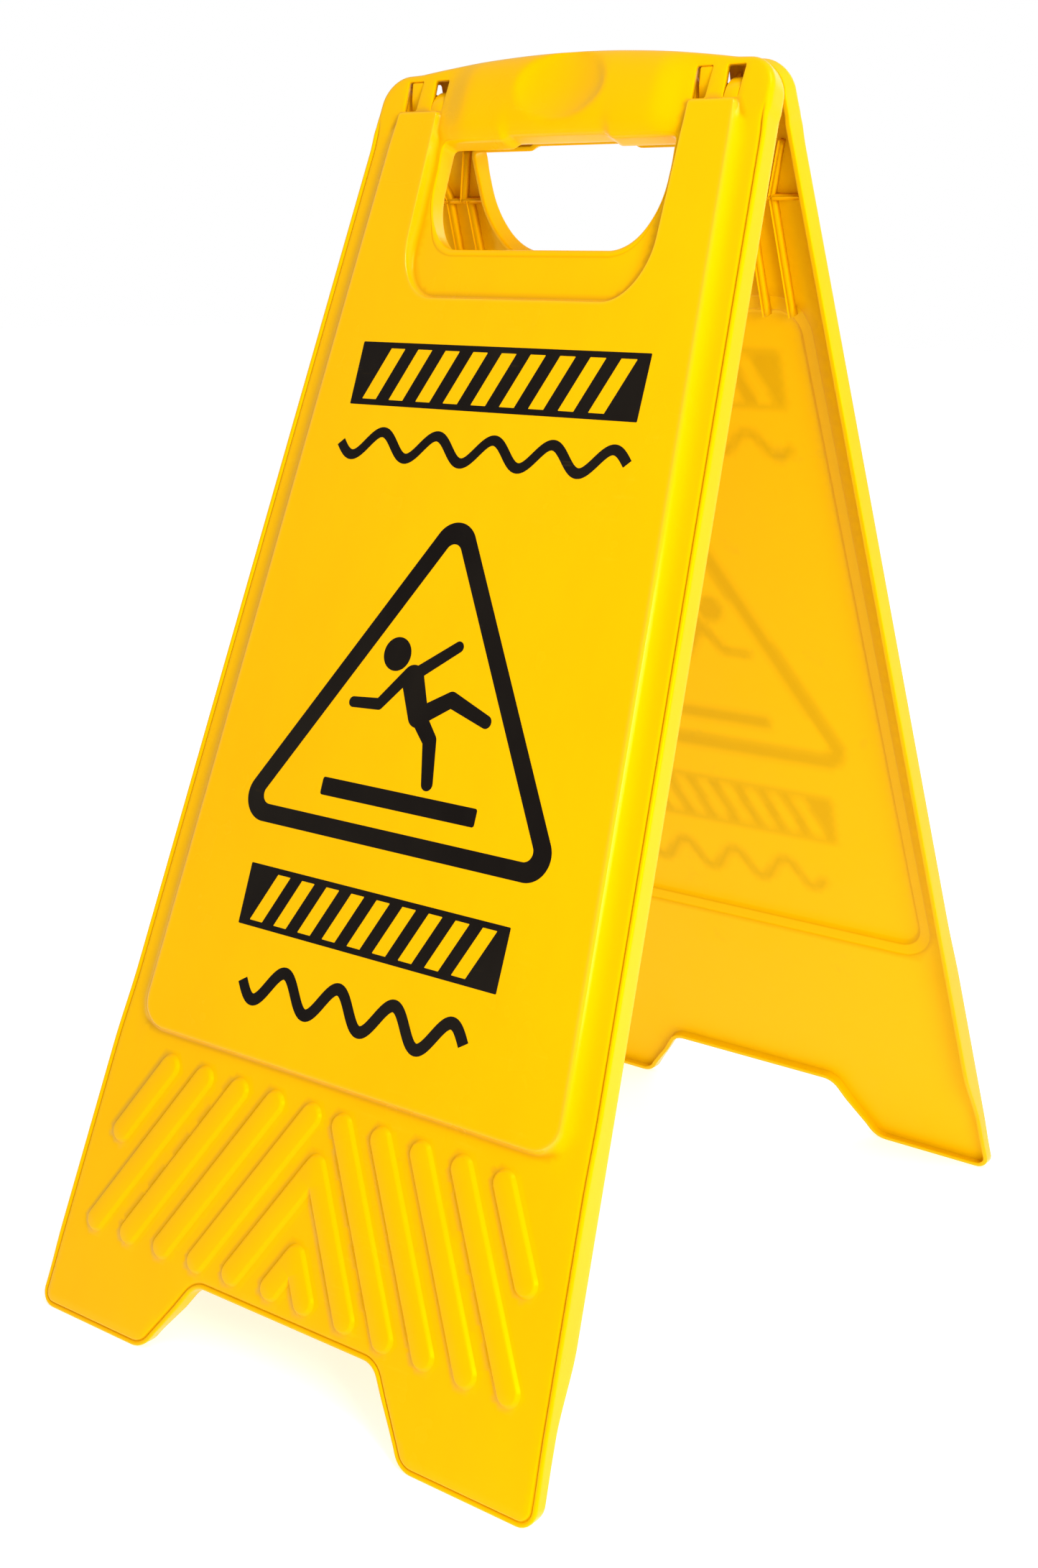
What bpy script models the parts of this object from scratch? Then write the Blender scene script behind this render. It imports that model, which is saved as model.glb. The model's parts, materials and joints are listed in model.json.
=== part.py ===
# Folding wet floor sign: two identical moulded panels that clip together along
# a hinge line under the carrying handle, with warning marks printed on each face.
#
# Panel frame, used by every function below:
#   x  across the panel, zero on the centre line
#   y  up the panel, zero on the hinge axis (so "drop" v below the axis is -y)
#   z  out of the panel's face, zero on the plane where the folded panels meet
import bpy
import bmesh
import math
from mathutils import Matrix

# ---------------------------------------------------------------- dimensions
LEAN = math.radians(20.25)        # each panel leans this far from upright when open
DEPTH = 0.0145                    # meeting plane to the flat printed field
STEP = 0.0026                     # field stands this far above the border plane
WALL = 0.0024                     # moulded wall
RIM_GAP = 0.0003                  # half the gap between the folded rims
STOP_GAP = 0.0002                 # half the gap between the stop faces above the axis

HALF_W_AXIS = 0.10827             # half width at the hinge axis
FLARE = 0.06815                   # half width gained per metre of drop
CROWN = -0.0210                   # drop of the handle's highest point
CROWN_FALL = 0.0072               # how far the crown falls towards the shoulders
SHOULDER_TOP = -0.0140            # drop of the shoulder's top edge
SHOULDER_R = 0.0150
FOOT = 0.6015                     # drop of the foot line, on the field plane
NOTCH = 0.5630                    # drop of the notch between the feet
NOTCH_TOP_W, NOTCH_FOOT_W = 0.0538, 0.0780
FOOT_OUT_R, FOOT_IN_R, NOTCH_R = 0.007, 0.012, 0.010
LIP = 0.0050                      # rim height left free of the meeting plane at the feet
LIP_START, LIP_END = 0.528, 0.562

HOLE_HALF, HOLE_TOP, HOLE_BOTTOM = 0.0648, 0.0200, 0.0715
HOLE_CX, HOLE_CY = 0.022, 0.032   # semi axes of the lower corners
RECESS_HALF, RECESS_BOTTOM = 0.0695, 0.0965
FIELD_HALF_AXIS, FIELD_FLARE = 0.0923, 0.0655
FIELD_TOP, FIELD_BOTTOM, FIELD_R = 0.0060, 0.4550, 0.012
FIELD_SLOPE = 0.0065              # width of the sloped sides of the field

BAR_BULGE = 0.0045                # handle bar stands proud of the border plane
DIMPLE = (0.033, 0.0225, 0.006)   # thumb rest ellipsoid
DIMPLE_DEPTH = 0.0016

STATIONS = (0.0726, 0.0886)       # inner and outer hinge stations, from the centre
WINDOW_HALF = (0.00425, 0.00465)
WINDOW_TOP, WINDOW_BOTTOM = -0.0103, 0.0056
PIN_R, PIN_PLAY, HOOK_WALL, HOOK_HALF = 0.0025, 0.00035, 0.0026, 0.0035
CHEEK_OFF, CHEEK_T, CHEEK_R = 0.0065, 0.0020, 0.0040

RIB_T, RIB_RIM = 0.0020, 0.0040
CROSS_RIB = 0.0450

CHEVRON_HALF, CHEVRON_RISE = 0.0042, 0.0016
CHEVRON_TOP, CHEVRON_FOOT = 0.4715, 0.5515
CHEVRON_PITCH, CHEVRON_LEAN = 0.0225, 0.585

INK = 0.0003                      # ink film, drawn clear of the face by INK_GAP
INK_GAP = 0.0003

SIN, COS, TAN = math.sin(LEAN), math.cos(LEAN), math.tan(LEAN)
AXIS_Z = FOOT * COS - DEPTH * SIN  # height of the hinge axis above the floor


# ------------------------------------------------------------------- helpers
def clear_scene():
    for ob in list(bpy.data.objects):
        bpy.data.objects.remove(ob, do_unlink=True)
    for me in list(bpy.data.meshes):
        bpy.data.meshes.remove(me)


def material(name, colour, roughness):
    mat = bpy.data.materials.new(name)
    mat.use_nodes = True
    shader = mat.node_tree.nodes["Principled BSDF"]
    shader.inputs["Base Color"].default_value = (*colour, 1.0)
    shader.inputs["Roughness"].default_value = roughness
    mat.diffuse_color = (*colour, 1.0)
    return mat


def loft(rings):
    """Closed solid through rings of equal length, first and last ring capped."""
    k = len(rings[0])
    verts = [p for ring in rings for p in ring]
    faces = [tuple(range(k)), tuple(range(len(verts) - k, len(verts)))]
    for r in range(len(rings) - 1):
        for i in range(k):
            a, b = r * k + i, r * k + (i + 1) % k
            faces.append((a, b, b + k, a + k))
    me = bpy.data.meshes.new("solid")
    me.from_pydata(verts, [], faces)
    bm = bmesh.new()
    bm.from_mesh(me)
    bmesh.ops.connect_verts_nonplanar(bm, angle_limit=1e-4, faces=bm.faces[:])
    bmesh.ops.recalc_face_normals(bm, faces=bm.faces)
    bm.to_mesh(me)
    bm.free()
    ob = bpy.data.objects.new("solid", me)
    bpy.context.scene.collection.objects.link(ob)
    return ob


def flat(outline, z):
    return [(s, -v, z) for s, v in outline]


def prism(outline, z0, z1):
    """Outline given as (across, drop) pairs, extruded out of the face."""
    return loft([flat(outline, z0), flat(outline, z1)])


def slab(profile, x0, x1):
    """Profile given as (drop, out) pairs, extruded across the panel."""
    return loft([[(x0, -v, n) for v, n in profile], [(x1, -v, n) for v, n in profile]])


def merge(objects):
    """Gather separate solids into one object, to be used as a single tool."""
    bm = bmesh.new()
    for ob in objects:
        bm.from_mesh(ob.data)
        bpy.data.objects.remove(ob, do_unlink=True)
    me = bpy.data.meshes.new("solids")
    bm.to_mesh(me)
    bm.free()
    ob = bpy.data.objects.new("solids", me)
    bpy.context.scene.collection.objects.link(ob)
    return ob


def combine(target, tool, operation):
    mod = target.modifiers.new("combine", 'BOOLEAN')
    mod.operation, mod.solver, mod.object = operation, 'EXACT', tool
    bpy.context.view_layer.update()
    graph = bpy.context.evaluated_depsgraph_get()
    me = bpy.data.meshes.new_from_object(target.evaluated_get(graph))
    target.modifiers.clear()
    target.data = me
    bpy.data.objects.remove(tool, do_unlink=True)
    return target


def rounded(corners, steps=5):
    """Polygon from (across, drop, radius) corners, each turned by an arc."""
    out, count = [], len(corners)
    for i, (x, y, r) in enumerate(corners):
        if r <= 0.0:
            out.append((x, y))
            continue
        px, py, _ = corners[i - 1]
        nx, ny, _ = corners[(i + 1) % count]
        ax, ay, bx, by = px - x, py - y, nx - x, ny - y
        la, lb = math.hypot(ax, ay), math.hypot(bx, by)
        ax, ay, bx, by = ax / la, ay / la, bx / lb, by / lb
        half = math.acos(max(-1.0, min(1.0, ax * bx + ay * by))) / 2
        reach = min(r / math.tan(half), 0.49 * la, 0.49 * lb)
        radius = reach * math.tan(half)
        mx, my = ax + bx, ay + by
        lm = math.hypot(mx, my)
        cx, cy = x + mx / lm * radius / math.sin(half), y + my / lm * radius / math.sin(half)
        a0 = math.atan2(y + ay * reach - cy, x + ax * reach - cx)
        a1 = math.atan2(y + by * reach - cy, x + bx * reach - cx)
        turn = (a1 - a0 + math.pi) % (2 * math.pi) - math.pi
        for k in range(steps + 1):
            a = a0 + turn * k / steps
            out.append((cx + radius * math.cos(a), cy + radius * math.sin(a)))
    return out


def shrink(outline, amount):
    """Move every edge inwards by the amount; corners stay where edges meet."""
    area = sum(a[0] * b[1] - b[0] * a[1] for a, b in zip(outline, outline[1:] + outline[:1]))
    side = 1.0 if area > 0 else -1.0
    out, count = [], len(outline)
    for i in range(count):
        (ax, ay), (x, y), (bx, by) = outline[i - 1], outline[i], outline[(i + 1) % count]
        ux, uy, wx, wy = x - ax, y - ay, bx - x, by - y
        lu, lw = math.hypot(ux, uy), math.hypot(wx, wy)
        n0x, n0y, n1x, n1y = -uy / lu, ux / lu, -wy / lw, wx / lw
        mx, my = n0x + n1x, n0y + n1y
        scale = side * amount * 2 / (mx * mx + my * my)
        out.append((x + mx * scale, y + my * scale))
    return out


def mirrored(half):
    """Close a right-hand half outline (top centre to bottom centre) on itself."""
    return half + [(-s, v) for s, v in reversed(half) if s > 1e-6]


# ------------------------------------------------------------------ outlines
def half_width(v):
    return HALF_W_AXIS + FLARE * v


def field_half(v):
    return FIELD_HALF_AXIS + FIELD_FLARE * v


def crown(s):
    return CROWN + CROWN_FALL * (s / 0.09) ** 2


def panel_outline():
    half = [(0.011 * k, crown(0.011 * k)) for k in range(9)]
    cx = half_width(0.001) - SHOULDER_R
    for k in range(7):
        a = math.radians(-90 + 15 * k)
        half.append((cx + SHOULDER_R * math.cos(a),
                     SHOULDER_TOP + SHOULDER_R + SHOULDER_R * math.sin(a)))
    half += [(half_width(v), v) for v in (LIP_START, LIP_END)]
    feet = rounded([(half_width(LIP_END), LIP_END, 0), (half_width(FOOT), FOOT, FOOT_OUT_R),
                    (NOTCH_FOOT_W, FOOT, FOOT_IN_R), (NOTCH_TOP_W, NOTCH, NOTCH_R),
                    (0.0, NOTCH, 0)])
    return mirrored(half + feet[1:])


def foot_ring(outline, z):
    """Ring whose foot line leans so that the feet stand flat on the floor."""
    out = []
    for s, v in outline:
        blend = min(1.0, max(0.0, (v - 0.575) / 0.018))
        out.append((s, -(v + (z - DEPTH) * TAN * blend), z))
    return out


def u_shape(half, bottom, top, rx, ry, steps=7):
    """Closed outline of an opening with wide elliptical lower corners."""
    side = [(half, top)]
    for k in range(steps + 1):
        a = math.pi / 2 * k / steps
        side.append((half - rx + rx * math.cos(a), bottom - ry + ry * math.sin(a)))
    return side + [(-s, v) for s, v in reversed(side)]


def field_outline(side, foot, top, recess):
    """Raised field and its two columns, grown by a different amount per edge."""
    r_half, r_bottom = RECESS_HALF - recess, RECESS_BOTTOM - recess
    r_x, r_y = 0.022 - recess, 0.030 - recess
    outer = [(field_half(FIELD_TOP - top) + side, FIELD_TOP - top)]
    corner = rounded([(field_half(0.30) + side, 0.30, 0),
                      (field_half(FIELD_BOTTOM + foot) + side, FIELD_BOTTOM + foot, FIELD_R),
                      (0.0, FIELD_BOTTOM + foot, 0)])
    outer += corner[1:-1]
    inner = []
    for k in range(8):
        a = math.pi / 2 * (1 - k / 7)
        inner.append((r_half - r_x + r_x * math.cos(a), r_bottom - r_y + r_y * math.sin(a)))
    inner.append((r_half, FIELD_TOP - top))
    right = inner + outer
    return right + [(-s, v) for s, v in reversed(right)]


# --------------------------------------------------------------------- panel
def bar_solid(inset, grow, base):
    """Convex grip: an arched profile at every station along the handle."""
    rings = []
    for k in range(13):
        s = -0.066 + 0.011 * k
        v0, v1 = crown(s) + 0.0015 + inset, HOLE_TOP - 0.0015 - inset
        rise = BAR_BULGE * (1 - (s / 0.074) ** 2) + grow
        ring = [(s, -v0, base)]
        for j in range(9):
            a = math.pi * j / 8
            ring.append((s, -((v0 + v1) / 2 - (v1 - v0) / 2 * math.cos(a)),
                         DEPTH - STEP - 0.0003 + rise * math.sin(a)))
        ring.append((s, -v1, base))
        rings.append(ring)
    return loft(rings)


def dimple():
    """Shallow oval thumb rest, cut as the cap of an ellipsoid."""
    a, b, c = DIMPLE
    centre = DEPTH - STEP + BAR_BULGE + c - DIMPLE_DEPTH
    rings = []
    for j in range(1, 10):
        t = math.pi * j / 10
        rings.append([(a * math.sin(t) * math.cos(2 * math.pi * i / 20),
                       -(crown(0) + HOLE_TOP) / 2 + b * math.sin(t) * math.sin(2 * math.pi * i / 20),
                       centre - c * math.cos(t)) for i in range(20)])
    return loft(rings)


def chevrons():
    """Rounded grip bars laid out as nested arrows between the field and the feet."""
    def strip(points, half, z0, z1):
        (ax, ay), (bx, by) = points
        length = math.hypot(bx - ax, by - ay)
        ux, uy = (bx - ax) / length, (by - ay) / length
        base = math.atan2(uy, ux)
        def ring(r, z):
            ends = []
            for (cx, cy), turn in (((bx, by), -90), ((ax, ay), 90)):
                for k in range(7):
                    a = base + math.radians(turn + 30 * k)
                    ends.append((cx + r * math.cos(a), -(cy + r * math.sin(a)), z))
            return ends
        return loft([ring(half, z0), ring(half, DEPTH - STEP), ring(half - 0.0014, z1)])

    base, top = DEPTH - STEP - 0.0012, DEPTH - STEP + CHEVRON_RISE
    out = []
    for side in (-1, 1):
        for k in range(5):
            x0 = side * (0.0092 + CHEVRON_PITCH * k)
            drop = CHEVRON_FOOT - CHEVRON_TOP if k < 4 else 0.036
            out.append(strip([(x0, CHEVRON_TOP),
                              (x0 + side * CHEVRON_LEAN * drop, CHEVRON_TOP + drop)],
                             CHEVRON_HALF, base, top))
    for apex, drop, half in ((0.4925, 0.0580, CHEVRON_HALF), (0.5330, 0.0170, 0.0038)):
        ring = []
        wide, tall = half / math.cos(math.atan(CHEVRON_LEAN)), half
        def vee(grow, z):
            w = wide + grow
            foot = apex + drop + grow
            x = CHEVRON_LEAN * drop
            return [(0, -(apex - w / CHEVRON_LEAN), z), (x + w, -foot, z), (x - w, -foot, z),
                    (0, -(apex + w / CHEVRON_LEAN), z),
                    (-x + w, -foot, z), (-x - w, -foot, z)]
        out.append(loft([vee(0, base), vee(0, DEPTH - STEP), vee(-0.0014, top)]))
    return out


def arc(radius, a0, a1, steps):
    """Points (drop, out) on a circle about the axis; angle from straight out."""
    return [(radius * math.sin(math.radians(a0 + (a1 - a0) * k / steps)),
             radius * math.cos(math.radians(a0 + (a1 - a0) * k / steps)))
            for k in range(steps + 1)]


def hinge_parts():
    """Hooks and pins placed so that a panel turned end for end meets its twin."""
    solids = []
    bore, outer = PIN_R + PIN_PLAY, PIN_R + PIN_PLAY + HOOK_WALL
    hook = (arc(bore, 130, -130, 14) + arc(outer, -130, 30, 10)
            + [(0.0085, DEPTH - 0.0016), (0.0135, DEPTH - 0.0016)]
            + arc(outer, 100, 130, 2))
    cheek = arc(CHEEK_R, -110, -250, 8)
    cheek = [(-0.0080, DEPTH - STEP - WALL + 0.0008)] + cheek \
        + [(0.0080, DEPTH - STEP - WALL + 0.0008)]
    for at in (STATIONS[1], -STATIONS[0]):
        solids.append(slab(hook, at - HOOK_HALF, at + HOOK_HALF))
    for at in (STATIONS[0], -STATIONS[1]):
        for off in (-CHEEK_OFF, CHEEK_OFF):
            solids.append(slab(cheek, at + off - CHEEK_T / 2, at + off + CHEEK_T / 2))
        pin = [(PIN_R * math.sin(2 * math.pi * k / 20), PIN_R * math.cos(2 * math.pi * k / 20))
               for k in range(20)]
        solids.append(slab(pin, at - CHEEK_OFF, at + CHEEK_OFF))
    return solids


def rib(a, b, roof):
    """Upright stiffening rib between two (across, drop) points."""
    (ax, ay), (bx, by) = a, b
    length = math.hypot(bx - ax, by - ay)
    ox, oy = -(by - ay) / length * RIB_T / 2, (bx - ax) / length * RIB_T / 2
    return prism([(ax + ox, ay + oy), (bx + ox, by + oy), (bx - ox, by - oy), (ax - ox, ay - oy)],
                 RIB_RIM, roof)


def ribs():
    solids = []
    roof_low, roof_high = DEPTH - STEP - WALL + 0.0008, DEPTH - WALL + 0.0008
    for side in (-1, 1):
        solids.append(rib((side * (HOLE_HALF + 0.0012), CROSS_RIB),
                          (side * (half_width(CROSS_RIB) - 0.0012), CROSS_RIB), roof_low))
        for top, foot in (((0.0745, 0.0200), (0.0835, CROSS_RIB)),
                          ((0.1000, 0.0200), (0.0905, CROSS_RIB)),
                          ((0.0790, CROSS_RIB), (0.0800, 0.0990)),
                          ((0.0915, CROSS_RIB), (0.0935, 0.0990))):
            solids.append(rib((side * top[0], top[1]), (side * foot[0], foot[1]), roof_high))
    return solids


def panel():
    outline = panel_outline()
    face = DEPTH - STEP
    body = loft([foot_ring(outline, RIM_GAP), foot_ring(outline, face - 0.0018),
                 foot_ring(shrink(outline, 0.0006), face - 0.0006),
                 foot_ring(shrink(outline, 0.0018), face)])
    combine(body, loft([flat(field_outline(FIELD_SLOPE, 0.002, 0.0008, 0.0014), face - 0.0010),
                        flat(field_outline(FIELD_SLOPE, 0.002, 0.0008, 0.0014), face),
                        flat(field_outline(0, 0, 0, 0), DEPTH)]), 'UNION')
    combine(body, bar_solid(0.0, 0.0, face - 0.0015), 'UNION')
    combine(body, merge(chevrons()), 'UNION')

    inside = shrink(outline, WALL)
    combine(body, loft([foot_ring(inside, -0.002), foot_ring(inside, face - WALL)]), 'DIFFERENCE')
    combine(body, loft([flat(field_outline(-0.0020, -0.0020, -0.0020, -0.0020), face - WALL - 0.001),
                        flat(field_outline(-0.0020, -0.0020, -0.0020, -0.0020), DEPTH - WALL)]),
            'DIFFERENCE')
    combine(body, bar_solid(WALL, -WALL + 0.0004, face - WALL - 0.001), 'DIFFERENCE')

    hole = u_shape(HOLE_HALF, HOLE_BOTTOM, HOLE_TOP, HOLE_CX, HOLE_CY)
    combine(body, prism(shrink(hole, -WALL), RIM_GAP, face - 0.0004), 'UNION')
    for solid in ribs():
        combine(body, solid, 'UNION')
    combine(body, prism(hole, -0.004, DEPTH + 0.01), 'DIFFERENCE')
    windows = []
    for at, half in zip(STATIONS, WINDOW_HALF):
        for side in (-1, 1):
            x = side * at
            windows.append(prism([(x - half, WINDOW_TOP), (x + half, WINDOW_TOP),
                                  (x + half * 0.8, WINDOW_BOTTOM), (x - half * 0.8, WINDOW_BOTTOM)],
                                 face - WALL - 0.002, DEPTH + 0.004))
    combine(body, merge(windows), 'DIFFERENCE')
    combine(body, dimple(), 'DIFFERENCE')

    reach = 0.05
    combine(body, slab([(0.0, STOP_GAP), (-reach, STOP_GAP + reach * TAN), (-reach, -0.01),
                        (0.0, -0.01)], -0.2, 0.2), 'DIFFERENCE')
    combine(body, slab([(LIP_START, -0.01), (LIP_START, 0.0), (LIP_END, LIP), (0.66, LIP),
                        (0.66, -0.01)], -0.2, 0.2), 'DIFFERENCE')
    for solid in hinge_parts():
        combine(body, solid, 'UNION')
    return body


# --------------------------------------------------------------------- print
def ring_solid(outer, inner, z0, z1):
    body = prism(outer, z0, z1)
    return combine(body, prism(inner, z0 - 0.001, z1 + 0.001), 'DIFFERENCE')


def capsule(a, b, ra, rb, steps=8):
    """Round-ended limb between two (across, drop) points."""
    base = math.atan2(b[1] - a[1], b[0] - a[0])
    out = []
    for (cx, cy), r, turn in ((b, rb, -90), (a, ra, 90)):
        for k in range(steps + 1):
            t = base + math.radians(turn + 180 * k / steps)
            out.append((cx + r * math.cos(t), cy + r * math.sin(t)))
    return out


def printed_marks():
    z0, z1 = DEPTH + INK_GAP, DEPTH + INK_GAP + INK
    marks = {}
    outer = [(0.0, 0.1880, 0.012), (0.0970, 0.3490, 0.012), (-0.0970, 0.3490, 0.012)]
    stroke = shrink([(s, v) for s, v, _ in outer], 0.0085)
    marks["warning_triangle"] = ring_solid(
        rounded(outer, 6), rounded([(s, v, 0.0045) for s, v in stroke], 6), z0, z1)

    centre = (-0.0184, 0.2618)
    marks["figure_head"] = prism([(centre[0] + 0.0078 * math.cos(math.pi * k / 12),
                                   centre[1] + 0.0078 * math.sin(math.pi * k / 12))
                                  for k in range(24)], z0, z1)
    limbs = (((-0.0066, 0.2715), (0.0010, 0.2875), 0.0062, 0.0056),
             ((-0.0050, 0.2690), (0.0150, 0.2545), 0.0030, 0.0026),
             ((-0.0095, 0.2700), (-0.0225, 0.2855), 0.0030, 0.0027),
             ((-0.0225, 0.2855), (-0.0375, 0.2865), 0.0027, 0.0025),
             ((0.0030, 0.2870), (0.0175, 0.2780), 0.0042, 0.0037),
             ((0.0175, 0.2780), (0.0385, 0.2850), 0.0037, 0.0030),
             ((0.0015, 0.2880), (0.0105, 0.2975), 0.0042, 0.0038),
             ((0.0105, 0.2975), (0.0145, 0.3165), 0.0038, 0.0032))
    figure = prism(capsule(*limbs[0]), z0, z1)
    for limb in limbs[1:]:
        combine(figure, prism(capsule(*limb), z0, z1), 'UNION')
    marks["slip_figure"] = figure
    marks["floor_bar"] = prism(rounded([(-0.0447, 0.3226, 0.0012), (0.0447, 0.3226, 0.0012),
                                        (0.0447, 0.3309, 0.0012), (-0.0447, 0.3309, 0.0012)], 3),
                               z0, z1)

    for name, half, top, bottom, count in (("upper_hazard_band", 0.0810, 0.1183, 0.1485, 9),
                                           ("lower_hazard_band", 0.0756, 0.3685, 0.3973, 9)):
        rail, slant = 0.0028, 0.011
        band = prism([(-half, top), (half, top), (half, bottom), (-half, bottom)], z0, z1)
        pitch = (2 * half - 2 * rail - slant) / count
        gaps = []
        for k in range(count):
            x = -half + rail + pitch * k + pitch * 0.24
            wide = pitch * 0.52
            gaps.append(prism([(x + slant, top + rail), (x + slant + wide, top + rail),
                               (x + wide, bottom - rail), (x, bottom - rail)],
                              z0 - 0.001, z1 + 0.001))
        marks[name] = combine(band, merge(gaps), 'DIFFERENCE')

    for name, half, mid, swing, thick, waves in (
            ("upper_wave", 0.0810, 0.1668, 0.0058, 0.0024, 5),
            ("lower_wave", 0.0650, 0.4218, 0.0078, 0.0028, 4)):
        near, far, steps = [], [], waves * 12
        for k in range(steps + 1):
            s = -half + 2 * half * k / steps
            turn = 2 * math.pi * waves * k / steps
            slope = swing * 2 * math.pi * waves / (2 * half) * math.cos(turn)
            length = math.hypot(1.0, slope)
            v = mid + swing * math.sin(turn)
            near.append((s + slope / length * thick, v - thick / length))
            far.append((s - slope / length * thick, v + thick / length))
        marks[name] = prism(near + far[::-1], z0, z1)
    return marks


# ------------------------------------------------------------------ assembly
def place(ob, name, mat, turned):
    """Stand a panel-frame solid on the floor, leaning about the hinge axis."""
    bm = bmesh.new()
    bm.from_mesh(ob.data)
    bmesh.ops.remove_doubles(bm, verts=bm.verts, dist=2e-6)
    bmesh.ops.recalc_face_normals(bm, faces=bm.faces)
    bm.to_mesh(ob.data)
    bm.free()
    stand = Matrix.Rotation(math.pi / 2 - LEAN, 4, 'X')
    if turned:
        stand = Matrix.Rotation(math.pi, 4, 'Z') @ stand
    ob.data.transform(stand)
    ob.location = (0.0, 0.0, AXIS_Z)
    ob.name = ob.data.name = name
    ob.data.materials.clear()
    ob.data.materials.append(mat)


def build():
    clear_scene()
    plastic = material("yellow_polypropylene", (1.0, 0.66, 0.0), 0.3)
    ink = material("black_ink", (0.008, 0.007, 0.006), 0.35)
    for side, turned in (("front", False), ("rear", True)):
        place(panel(), side + "_panel", plastic, turned)
        for name, ob in printed_marks().items():
            place(ob, side + "_" + name, ink, turned)


build()
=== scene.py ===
# %% [markdown]
# # A folding wet floor sign
# Two identical yellow mouldings clip together under their carrying handles and
# stand open like a tent. The fixed frame gives the sizes and the hinge; this
# lesson works out the finished surfaces around it, panel by panel.

# %% Load the frame
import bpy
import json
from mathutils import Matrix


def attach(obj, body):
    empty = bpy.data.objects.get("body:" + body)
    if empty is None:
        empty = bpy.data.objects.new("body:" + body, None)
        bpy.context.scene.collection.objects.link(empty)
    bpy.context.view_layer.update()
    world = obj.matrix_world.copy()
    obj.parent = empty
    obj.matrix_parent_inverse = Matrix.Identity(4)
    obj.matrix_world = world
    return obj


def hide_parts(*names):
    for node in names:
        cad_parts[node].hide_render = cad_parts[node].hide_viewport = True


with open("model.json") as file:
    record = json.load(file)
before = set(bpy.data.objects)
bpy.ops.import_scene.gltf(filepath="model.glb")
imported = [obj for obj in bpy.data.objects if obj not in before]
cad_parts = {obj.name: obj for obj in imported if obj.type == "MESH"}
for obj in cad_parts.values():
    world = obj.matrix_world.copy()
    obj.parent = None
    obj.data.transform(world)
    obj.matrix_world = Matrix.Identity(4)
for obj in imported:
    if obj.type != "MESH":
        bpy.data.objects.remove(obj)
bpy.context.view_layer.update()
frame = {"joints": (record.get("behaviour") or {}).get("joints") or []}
import json
import math

import bmesh
import bpy
import numpy as np
from mathutils import Matrix, Vector
from mathutils.geometry import delaunay_2d_cdt

# %% [markdown]
# ## The hinge sets the stance
# One hinge joins the panels. Its position is the axis, and half of its travel is
# how far each panel leans from upright. Every shape below is worked out in
# millimetres on a flat panel: `s` across it, `v` down it from the axis, and `n`
# out of its face from the plane where the folded panels meet.

# %% Stance
hinge = frame["joints"][0]
LEAN = math.radians(-hinge["range_deg"][0] / 2)
AXIS_Z = hinge["pos_m"][2]
SIN, COS, TAN = math.sin(LEAN), math.cos(LEAN), math.tan(LEAN)
MM, FIELD_PLANE = 0.001, 14.5
SHEAR_FROM, SHEAR_OVER = 575, 18
print(f"lean {math.degrees(LEAN):.2f} degrees, axis {AXIS_Z:.4f} m above the floor")


def stand_up(points, turned):
    """Panel (s, v, n) in mm to the room in metres: lean about the axis, then turn.

    Near the feet, v also shifts with n by the tangent of the lean, so they stand flat."""
    s, v, n = np.asarray(points, float).T
    v = v + (n - FIELD_PLANE) * TAN * np.clip((v - SHEAR_FROM) / SHEAR_OVER, 0, 1)
    s, v, n = s * MM, v * MM, n * MM
    room = np.stack([s, -v * SIN - n * COS, AXIS_Z - v * COS + n * SIN], 1)
    return room * (-1, -1, 1) if turned else room


# %% [markdown]
# ## Camera
# The sign is seen a little from above and from its right. The camera's own axes are
# worked out from an azimuth, an elevation and a slight roll, and set as a matrix.

# %% Camera
azimuth, elevation, roll = math.radians(37.244), math.radians(14.468), 0.01328
back = Vector((math.sin(azimuth) * math.cos(elevation),
               -math.cos(azimuth) * math.cos(elevation), math.sin(elevation)))
level = Vector((math.cos(azimuth), math.sin(azimuth), 0))
above = back.cross(level)
across = level * math.cos(roll) + above * math.sin(roll)
upward = above * math.cos(roll) - level * math.sin(roll)
camera = bpy.data.objects.new("camera", bpy.data.cameras.new("camera"))
bpy.context.scene.collection.objects.link(camera)
camera.matrix_world = Matrix.Translation((0.55898, -0.78245, 0.48709)) @ \
    Matrix((across, upward, back)).transposed().to_4x4()
camera.data.lens = 46.06
camera.data.shift_x, camera.data.shift_y = 0.0089, 0.0018
camera.data.clip_start, camera.data.clip_end = 0.01, 50
bpy.context.scene.camera = camera
print("camera stands at", [round(c, 3) for c in camera.matrix_world.translation])

# %% [markdown]
# ## Light
# Three square lights do the work: a key from the right, near enough that the left
# of the panel falls a little darker, one from above and one for the back. The world
# lights the scene dimly but looks white to rays straight from the camera, so the
# room stays pale and the form isn't flattened.

# %% Lights and world
def area_light(name, place, target, size, watts, colour=(1, 1, 1)):
    """A square soft light at place, facing target."""
    data = bpy.data.lights.new(name, 'AREA')
    data.shape, data.size, data.energy, data.color = 'SQUARE', size, watts, colour
    light = bpy.data.objects.new(name, data)
    bpy.context.scene.collection.objects.link(light)
    light.location = place
    direction = Vector(target) - Vector(place)
    light.rotation_euler = direction.to_track_quat('-Z', 'Y').to_euler()
    return light


area_light("key_right", (0.95, -0.56, 0.6), (0.05, 0, 0.3), 0.4, 8)
area_light("top", (0.7, -0.3, 1.6), (0, 0, 0.3), 0.5, 7)
area_light("back_fill", (0.2, 2.0, 1.2), (0, 0.1, 0.3), 1.4, 7)

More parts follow.
